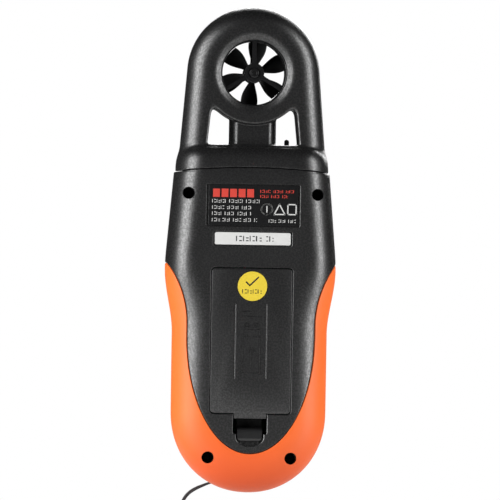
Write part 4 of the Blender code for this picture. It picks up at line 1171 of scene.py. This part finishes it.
def spring_paint():
    """The same grained ABS, with painted shade where the spring dips into its slot: darker, duller and
    without coat there.
    """
    paint = Paint("spring_abs", (0.007, 0.007, 0.0073), 0.4, specular_ior_level=0.4)
    point, _, y, _ = paint.place()
    fine = paint.noise(point, 1350.0, 2.0, 0.6)
    # Painted shade: below the cover's face the colour drops tenfold, the roughness rises and the coat fades,
    # as the slot shades it.
    outer = paint.node("ShaderNodeMapRange", {"clamp": True}, y, 0.0138, 0.0168, 0.0, 1.0)
    paint.set("Base Color", paint.mix(outer, (0.0008, 0.0008, 0.0008), (0.008, 0.008, 0.0084)))
    paint.set("Roughness", 0.78 - outer * 0.38 + fine * 0.08)
    paint.set("Coat Weight", outer * (fine * 0.8 + 0.3))
    paint.bump(fine, 0.00008, 0.8)
    return paint


def make_latch():
    """The spring in one piece: from the door inward, round the bend, outward and down as the tongue."""
    route = smooth_route([(0, 16.9, -23.35), (0, 14.6, -23.35), (0, 12.6, -23.5), (0, 11.75, -24.6),
                          (0, 11.7, -26.7), (0, 12.5, -28.05), (0, 14.4, -28.3), (0, 16.0, -28.4),
                          (0, 17.0, -29.1), (0, 17.15, -30.6), (0, 17.15, -32.0), (0, 17.1, -33.0)], 5)
    section = ((-1, -0.6), (-0.975, -1), (0.975, -1), (1, -0.6),
               (1, 0.6), (0.975, 1), (-0.975, 1), (-1, 0.6))
    net, rings = Net(), []
    for i, here in enumerate(route):
        along = (route[min(i + 1, len(route) - 1)] - route[max(i - 1, 0)]).normalized()
        out = Vector((1, 0, 0)).cross(along)
        from_end = (len(route) - 1 - i) / 5
        thick = 0.5 + 0.24 * ease(min(max((i - 34) / 8, 0.0), 1.0))
        wide = LATCH_HALF - 1.5 * (1 - math.sqrt(1 - max(1 - from_end / 1.6, 0.0) ** 2))
        thick *= 1 - 0.35 * max(1 - from_end / 0.8, 0.0)
        rings.append([here + Vector((u * wide, 0, 0)) + out * v * thick for u, v in section])
    latch = net.loft(rings).piece("door_spring", spring_paint())
    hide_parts("door_latch")
    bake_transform(latch)


def make_foam_pad():
    """A strip of black foam glued inside the door, which keeps the battery from rattling."""
    paint = rubber_paint("black_foam", (0.03, 0.03, 0.031), 0.9)
    point = paint.point()
    cells = paint.node("ShaderNodeTexVoronoi", {}, Vector=point, Scale=1500.0)
    paint.bump(cells, 0.0002, 1.0)
    net = Net().prism(rounded_box(9.0, -12.0, 12.0, 0.8),
                      [(15.2, -0.5), (15.35, -0.1), (15.6, 0.0), (15.95, 0.0), (16.2, -0.15)])
    pad = net.piece("door_foam", paint, sharp=50)
    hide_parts("door_foam_pad")
    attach(pad, "door")


make_door()
make_latch()
make_foam_pad()

# ==== printed labels ====
# A black film label and a white one lie in pockets of the cover, and a round yellow sticker marks
# inspection. Their print is thin ink: rows of plain marks and a few plain shapes that say nothing.
RATING_FILM, SERIAL_FILM, FILM_FOOT, FILM_FACE = (18.3, 55.4, 71.7), (15.55, 47.35, 52.4), 17.95, 18.45
INK, SIGN_LINE = 0.02, 0.24


def film_paint(name, tint, rough, coat=0.0):
    paint = Paint(name, tint, rough, coat_weight=coat, coat_roughness=0.12)
    point = paint.point()
    cloud = paint.noise(point, 300.0, 3.0)
    dull, bright = tuple(c * 0.94 for c in tint), tuple(min(c * 1.06, 1) for c in tint)
    paint.set("Base Color", paint.mix(cloud, dull, bright))
    paint.set("Roughness", rough - 0.04 + cloud * 0.1)
    paint.bump(cloud, 0.000015, 0.5)
    return paint


def ink_bar(net, left, right, low, high, y):
    net.prism([(left, low), (right, low), (right, high), (left, high)], [(y, 0), (y + INK, 0)])


def ink_rows(net, x, z, high, width, words, y, heavy=0.5):
    """A row of small upright marks in groups, as wide as the row; the back is seen reversed, so x falls."""
    left, number = x, 0
    while left > x - width:
        number += 1
        mark = high * (0.34 + 0.16 * ((number * 7) % 5) / 4)
        if number % words:
            tall = high * (0.72 + 0.28 * ((number * 3) % 4 > 0))
            right = max(left - mark, x - width)
            if number % 2:
                ink_bar(net, left, left - mark * heavy, z, z + tall, y)
            else:
                ink_bar(net, left, right, z, z + high * 0.2, y)
                ink_bar(net, left, right, z + tall - high * 0.2, z + tall, y)
        left -= mark + high * 0.2


def place_label(piece, body="case", node=None):
    if node:
        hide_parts(node)
    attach(piece, body)


def make_labels():
    black_film = film_paint("black_label_film", (0.0075, 0.0075, 0.008), 0.3, coat=0.3)
    white_film = film_paint("white_label_film", (0.60, 0.60, 0.59), 0.5)
    yellow_film = film_paint("yellow_sticker_paper", (0.66, 0.50, 0.03), 0.55)
    white_ink = film_paint("white_ink", (0.55, 0.55, 0.54), 0.5)
    red_ink = film_paint("red_ink", (0.55, 0.045, 0.03), 0.5)
    dark_ink = film_paint("dark_ink", (0.012, 0.012, 0.013), 0.5)
    face = FILM_FACE
    for name, shape, paint, slot, node in (
            ("rating_film", rounded_box(*RATING_FILM, 0.5), black_film, "label_black", "rating_label"),
            ("serial_film", rounded_box(*SERIAL_FILM, 0.7), white_film, "label_white", "serial_label")):
        film = Net().prism(shape, [(FILM_FOOT, 0.0), (face - 0.06, 0.0), (face, -0.06)]).piece(name, paint)
        place_label(film, node=node)
    white, red, dark = Net(), Net(), Net()
    for k in range(5):
        x = 16.6 - k * 3.5
        ink_bar(red, x, x - 2.8, 66.8, 70.2, face)
    ink_rows(red, -2.8, 68.75, 1.2, 14.2, 7, face, 0.6)
    ink_rows(red, -2.8, 66.7, 1.2, 11.4, 6, face, 0.6)
    for z, width, words in ((64.5, 19.3, 8), (61.9, 16.4, 7), (59.4, 15.9, 6), (56.8, 18.5, 5)):
        ink_rows(white, 16.9, z, 1.4, width, words, face, 0.42)
    ink_rows(white, -6.4, 56.6, 1.3, 11.4, 5, face, 0.42)
    for line in (ring_line(-5.6, 62.05, 2.2, 28), [(-5.6, 61.0), (-5.6, 63.1)],
                 [(-8.6, 60.0), (-10.8, 64.1), (-13.0, 60.0), (-8.6, 60.0)],
                 [(-14.2, 60.0), (-14.2, 64.1), (-17.6, 64.1), (-17.6, 60.0), (-14.2, 60.0)]):
        stroke(white, line, SIGN_LINE, face, face + INK)
    ink_rows(dark, 6.9, 48.8, 2.2, 15.4, 9, face, 0.48)
    for name, net, paint, slot in (("white_print", white, white_ink, "label_white"),
                                   ("red_print", red, red_ink, "grip_orange"),
                                   ("serial_print", dark, dark_ink, "label_black")):
        place_label(net.piece(name, paint))

    sticker_face = REAR_DEPTH + 0.05
    disc = Net().turned([(STICKER_R, REAR_DEPTH - 0.11), (STICKER_R, sticker_face - 0.04),
                         (STICKER_R - 0.05, sticker_face)], (STICKER_X, STICKER_Z), 72)
    place_label(disc.piece("inspection_disc", yellow_film), "door", "inspection_sticker")
    tick = Net()
    stroke(tick, [(2.3, 32.0), (0.9, 30.7), (-2.5, 34.0)], 0.3, sticker_face, sticker_face + INK)
    ink_rows(tick, 4.0, 27.4, 1.7, 8.0, 20, sticker_face, 0.45)
    place_label(tick.piece("inspection_print", dark_ink), "door")


make_labels()

# ==== case and board screws ====
# Black-plated cross-head tapping screws, deep in their holes. Four join the covers from the back, and four
# smaller ones hold the board to the front cover's posts.
BOARD_SCREWS = ((18.5, 68.0), (-18.5, 68.0), (17.5, -26.0), (-17.5, -26.0))
black_steel = steel_paint("black_plated_steel", (0.012, 0.012, 0.013), 0.6)


def cross_screw(name, head, tip, radius, profile, place):
    screw = Net().turned(profile, place, 40).piece(name + "_visual", black_steel)
    recess = Net()
    x, z = place
    arm, slot = radius * 0.62, radius * 0.13
    cross = [(slot, slot), (slot, arm), (-slot, arm), (-slot, slot), (-arm, slot), (-arm, -slot),
             (-slot, -slot), (-slot, -arm), (slot, -arm), (slot, -slot), (arm, -slot), (arm, slot)]
    recess.prism([(x + dx, z + dz) for dx, dz in cross], [(tip, 0.0), (head + 0.3, 0.0)])
    combine(screw, recess)
    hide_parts(name)
    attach(screw, "case")


def make_screws():
    """Both profiles are (radius, y) pairs from the point of the screw to the top of its head."""
    long_screw = [(0.5, -10.5), (1.2, -9.0), (1.2, 9.3), (1.95, 9.3), (2.1, 9.45), (2.1, 10.1),
                  (1.8, 10.6), (1.3, 10.9), (0.6, 11.0)]
    short_screw = [(0.3, -12.5), (0.75, -11.8), (0.75, -6.1), (1.75, -6.1), (1.9, -6.0), (1.9, -5.5),
                   (1.6, -5.25), (1.0, -5.1), (0.5, -5.1)]
    for number, place in enumerate(screw_places(), 1):
        cross_screw(f"case_screw_{number}", 11.0, 10.0, 2.1, long_screw, place)
    for number, place in enumerate(BOARD_SCREWS, 1):
        cross_screw(f"board_screw_{number}", -5.1, -5.8, 1.9, short_screw, place)


make_screws()

# ==== front cover, display and keys ====
# The other side, which faces the user: a clear acrylic window over a grey liquid crystal panel in a black
# frame, and six silicone-sprung key caps in two rows.
KEY_W, KEY_H, KEY_TRAVEL_ROOM, KEY_RELIEF = 11.0, 7.4, 0.35, 0.95
WINDOW_HALF, WINDOW_FOOT, WINDOW_HEAD = 24.3, 24.7, 62.3


def key_places():
    number = 0
    for z in (10.0, -4.0):
        for x in (-15.5, 0.0, 15.5):
            number += 1
            yield number, x, z


def front_half():
    tray = Tray(-1, FRONT_DEPTH)
    shell = cover_shell(tray, "front_cover_shell", black_abs)
    posts, bores, pockets = Net(), Net(), Net()
    for x, z in screw_places():
        top = [(4.0, -10.0), (2.8, -12.5)] if z > 0 else [(4.0, -8.6), (2.7, -10.8)]
        posts.turned([(3.7, -0.3), (4.0, -0.6)] + top, (x, z), 32)
        bores.turned([(1.6, 1), (1.6, -11.5)], (x, z), 24)
    for x, z in BOARD_SCREWS:
        posts.turned([(2.4, -8.3), (2.4, -14.8)], (x, z), 24)
        bores.turned([(1.1, -6), (1.1, -13.0)], (x, z), 24)
    combine(shell, posts, "UNION")
    combine(shell, bores)
    opening(pockets, rounded_box(WINDOW_HALF, WINDOW_FOOT, WINDOW_HEAD, 1.5), -16.0, -FRONT_DEPTH, 0.25)
    reliefs = Net().prism(rounded_box(21.8, 27.2, 59.8, 1.0), [(-12, 0), (-16.5, 0)])
    for number, x, z in key_places():
        half, room = KEY_W / 2 + KEY_TRAVEL_ROOM, KEY_H / 2 + KEY_TRAVEL_ROOM
        opening(pockets, rounded_box(half, z - room, z + room, 2.2, x=x), -11, -FRONT_DEPTH, 0.35)
        relief = rounded_box(half + KEY_RELIEF, z - room - KEY_RELIEF, z + room + KEY_RELIEF, 2.8, x=x)
        reliefs.prism(relief, [(-10, 0), (-13.8, 0)])
    lug_slot = Net().prism([(5.9, -53.8), (9.1, -53.8), (9.1, -45.8), (5.9, -45.8)],
                           [(-16.9, 0), (-13.1, 0)])
    combine(shell, pockets)
    combine(shell, reliefs)
    combine(shell, lug_slot)
    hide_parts("front_cover")
    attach(shell, "case")
    grip = combine(grip_skin(tray, "front_grip_skin", orange), lug_slot)
    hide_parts("front_grip")
    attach(grip, "case")


def make_window():
    """Clear acrylic with a printed black border on its inner face."""
    paint = Paint("clear_acrylic", (0.82, 0.86, 0.86), 0.06, coat_weight=0.4, ior=1.49)
    point = paint.point()
    paint.set("Roughness", 0.04 + paint.noise(point, 120.0, 2.0) * 0.05)
    paint.set("Alpha", 0.16 + paint.noise(point, 60.0, 1.0) * 0.04)
    pane = Net().prism(rounded_box(23.9, 25.1, 61.9, 1.2), [(-16.3, -0.1), (-16.4, 0.0), (-17.1, 0.0),
                                                            (-17.3, -0.2)]).piece("display_pane", paint)
    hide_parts("display_window")
    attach(pane, "case")
    border = film_paint("window_border_ink", (0.008, 0.008, 0.008), 0.35)
    outer, inner = rounded_box(23.3, 25.7, 61.3, 1.0), rounded_box(21.2, 28.2, 59.0, 0.8)
    ring = Net()
    rows = [ring.row([(x, y, z) for x, z in shape]) for shape, y in ((outer, -16.28), (outer, -16.24),
                                                                     (inner, -16.24), (inner, -16.28))]
    for low, high in zip(rows, rows[1:] + rows[:1]):
        ring.strip(low + low[:1], high + high[:1])
    place_label(ring.piece("window_border", border))


def segment_row(net, x, z, high, wide, lit, y):
    """Seven-bar figures from left to right as the front is seen; lit names the bars of each."""
    bars = {"a": ((0, 1), (1, 1)), "b": ((1, 1), (1, 0.5)), "c": ((1, 0.5), (1, 0)), "d": ((0, 0), (1, 0)),
            "e": ((0, 0.5), (0, 0)), "f": ((0, 1), (0, 0.5)), "g": ((0, 0.5), (1, 0.5))}
    for place, names in enumerate(lit):
        for name in names:
            (ax, az), (bx, bz) = bars[name]
            inset = 0.07 * high
            start = Vector((x + place * wide * 1.5 + ax * wide, z + az * high))
            end = Vector((x + place * wide * 1.5 + bx * wide, z + bz * high))
            way = (end - start).normalized() * inset
            stroke(net, [tuple(start + way), tuple(end - way)], high * 0.045, y, y - INK)


def make_display():
    """The panel itself, with its bars switched off but still faintly seen."""
    glass = film_paint("display_glass", (0.30, 0.34, 0.27), 0.22, coat=0.8)
    bars = film_paint("display_bars", (0.16, 0.18, 0.145), 0.3)
    panel = Net().prism(rounded_box(22.2, 25.6, 61.4, 0.4),
                        [(-11.0, -0.1), (-11.1, 0), (-12.4, 0), (-12.6, -0.2)])
    place_label(panel.piece("display_panel", glass), node="lcd_glass")
    figures = Net()
    segment_row(figures, -12.0, 44.0, 10.0, 5.2, ("abcdef", "abcdefg", "abcdefg"), -12.6)
    segment_row(figures, -4.0, 31.5, 7.0, 3.8, ("abcdef", "abcdefg", "abcdefg"), -12.6)
    place_label(figures.piece("display_figures", bars))
    surround = Net().prism(rounded_box(23.4, 24.4, 62.6, 1.0), [(-8.5, 0), (-12.6, 0), (-12.8, -0.2)])
    frame_piece = surround.piece("display_surround", black_abs)
    combine(frame_piece, Net().prism(rounded_box(22.5, 25.3, 61.7, 0.6), [(-7, 0), (-14, 0)]))
    place_label(frame_piece, node="lcd_frame")


def arc_line(start, end, radius=1.5):
    """An arc about a key's middle, for stroke; the angles run clockwise from straight up."""
    return [(radius * math.sin(a), radius * math.cos(a)) for a in np.arange(start, end, 0.35)]


def make_keys():
    """Caps with a flange behind the cover and an eased rim; each sign is a plain printed shape."""
    cap_paint = rubber_paint("grey_key_cap", (0.075, 0.078, 0.085), 0.5)
    ink = film_paint("key_ink", (0.6, 0.6, 0.6), 0.5)
    signs = {
        1: [arc_line(0.6, 5.8), [(0, 0.3), (0, 1.9)]],
        2: [[(-1.6, -1.0), (0, 1.2), (1.6, -1.0)]],
        3: [[(-1.7, 0.9), (1.7, 0.9)], [(-1.7, 0), (1.7, 0)], [(-1.7, -0.9), (1.7, -0.9)]],
        4: [[(-1.5, -1.2), (-1.5, 1.2), (1.5, 1.2), (1.5, -1.2), (-1.5, -1.2)]],
        5: [[(-1.6, 1.0), (0, -1.2), (1.6, 1.0)]],
        6: [arc_line(0, 6.4)],
    }
    half, tall = KEY_W / 2, KEY_H / 2
    levels = [(0.9, -12.6), (0.9, -13.5), (0.0, -13.5), (0.0, -17.5), (-0.12, -17.9), (-0.4, -18.2),
              (-0.9, -18.36), (-2.2, -18.4)]
    for number, x, z in key_places():
        rings = []
        for grow, y in levels:
            outline = rounded_box(half + grow, z - tall - grow, z + tall + grow, max(1.9 + grow, 0.6), x=x)
            rings.append([(px, y, pz) for px, pz in outline])
        cap = Net().loft(rings).piece(f"key_cap_{number}_moulding", cap_paint)
        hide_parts(f"key_{number}")
        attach(cap, f"key_cap_{number}")
        sign = Net()
        for line in signs[number]:
            stroke(sign, [(x + dx, z + dz) for dx, dz in line], 0.17, -18.38, -18.42)
        mark = sign.piece(f"key_sign_{number}", ink)
        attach(mark, f"key_cap_{number}")


front_half()
make_window()
make_display()
make_keys()

# ==== inside ====
# What the covers hide keeps its own shape: the board with its chip, the pick-up and its film lead, the
# battery tray, the battery with its snap, and the rubber parts. The two leads are soft vinyl wire.


def board_paint():
    """Green solder mask over copper: traces stand a little proud and show lighter, with bare tinned pads."""
    paint = Paint("solder_mask", (0.02, 0.16, 0.07), 0.35)
    point = paint.point()
    lines = paint.node("ShaderNodeTexBrick", {"offset": 0.37}, Vector=point, Scale=260.0)
    pads = paint.node("ShaderNodeTexVoronoi", {}, Vector=point, Scale=230.0)
    pad = pads < 0.16
    trace = paint.node("ShaderNodeSeparateColor", {}, lines) > 0.5
    green = paint.mix(trace, (0.012, 0.10, 0.045), (0.02, 0.17, 0.075))
    paint.set("Base Color", paint.mix(pad, green, (0.62, 0.62, 0.58)))
    paint.set("Metallic", pad)
    paint.set("Roughness", 0.34 - pad * 0.08 + paint.noise(point, 900.0) * 0.06)
    paint.bump(trace + pad, 0.00003, 0.5)
    return paint


def can_paint():
    """The battery's printed can: a black sleeve with a copper-coloured band at its upper end."""
    paint = Paint("battery_sleeve", (0.02, 0.02, 0.022), 0.3)
    point, _, _, z = paint.place()
    grime = paint.noise(point, 240.0, 3.0)
    band = z > 0.014
    stud = z > 0.0286
    paint.set("Base Color", paint.mix(stud, paint.mix(band, (0.018, 0.018, 0.02), (0.55, 0.26, 0.10)),
                                      (0.6, 0.6, 0.6)))
    paint.set("Metallic", paint.mix(band, (0.25, 0.25, 0.25), (0.9, 0.9, 0.9)))
    paint.set("Roughness", 0.26 + grime * 0.14)
    paint.bump(grime, 0.00002, 0.4)
    return paint


def striped_paint():
    """Contact rubber: fine dark and light layers along its length."""
    paint = Paint("contact_rubber_layers", (0.25, 0.2, 0.2), 0.6)
    point = paint.point()
    layers = paint.node("ShaderNodeTexWave", {"bands_direction": "X"}, Vector=point, Scale=900.0)
    paint.set("Base Color", paint.mix(layers, (0.03, 0.03, 0.03), (0.5, 0.42, 0.42)))
    paint.set("Roughness", 0.55 + layers * 0.15)
    return paint


def make_leads():
    for name, x, tint in (("battery_lead_red", 3.0, (0.50, 0.012, 0.010)),
                          ("battery_lead_black", -3.0, (0.012, 0.012, 0.013))):
        route = smooth_route([(x, 12.1, 32.0), (x, 13.2, 33.6), (x, 13.4, 36.0), (x, 12.0, 38.4),
                              (x, 8.0, 40.2), (x, 2.0, 41.0), (x, -3.0, 41.6), (x, -5.9, 41.8)], 8)
        rings = []
        for i, here in enumerate(route):
            along = (route[min(i + 1, len(route) - 1)] - route[max(i - 1, 0)]).normalized()
            out = Vector((1, 0, 0)).cross(along)
            rings.append([here + Vector((0.5 * math.cos(math.tau * k / 12), 0, 0)) + out * 0.5
                          * math.sin(math.tau * k / 12) for k in range(12)])
        paint = film_paint(name + "_paint", tint, 0.35, coat=0.3)
        wire = Net().loft(rings).piece(name + "_vinyl", paint, sharp=60)
        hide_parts(name)
        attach(wire, "case")


def make_inside():
    green = board_paint()
    repaint(green, "main_board", "vane_sensor")
    repaint(film_paint("chip_epoxy", (0.012, 0.012, 0.012), 0.45), "processor_chip")
    repaint(film_paint("film_lead", (0.62, 0.62, 0.60), 0.4), "sensor_ribbon")
    repaint(film_paint("white_diffuser", (0.8, 0.8, 0.79), 0.5), "backlight_panel")
    repaint(striped_paint(), "contact_strip")
    repaint(rubber_paint("silicone_mat", (0.045, 0.045, 0.047), 0.55), "key_mat")
    repaint(abs_paint("tray_abs", (0.014, 0.014, 0.014), 0.45, 0.5), "battery_tray")
    repaint(rubber_paint("snap_moulding", (0.014, 0.014, 0.014), 0.45), "battery_snap")
    repaint(can_paint(), "battery")
    make_leads()


make_inside()
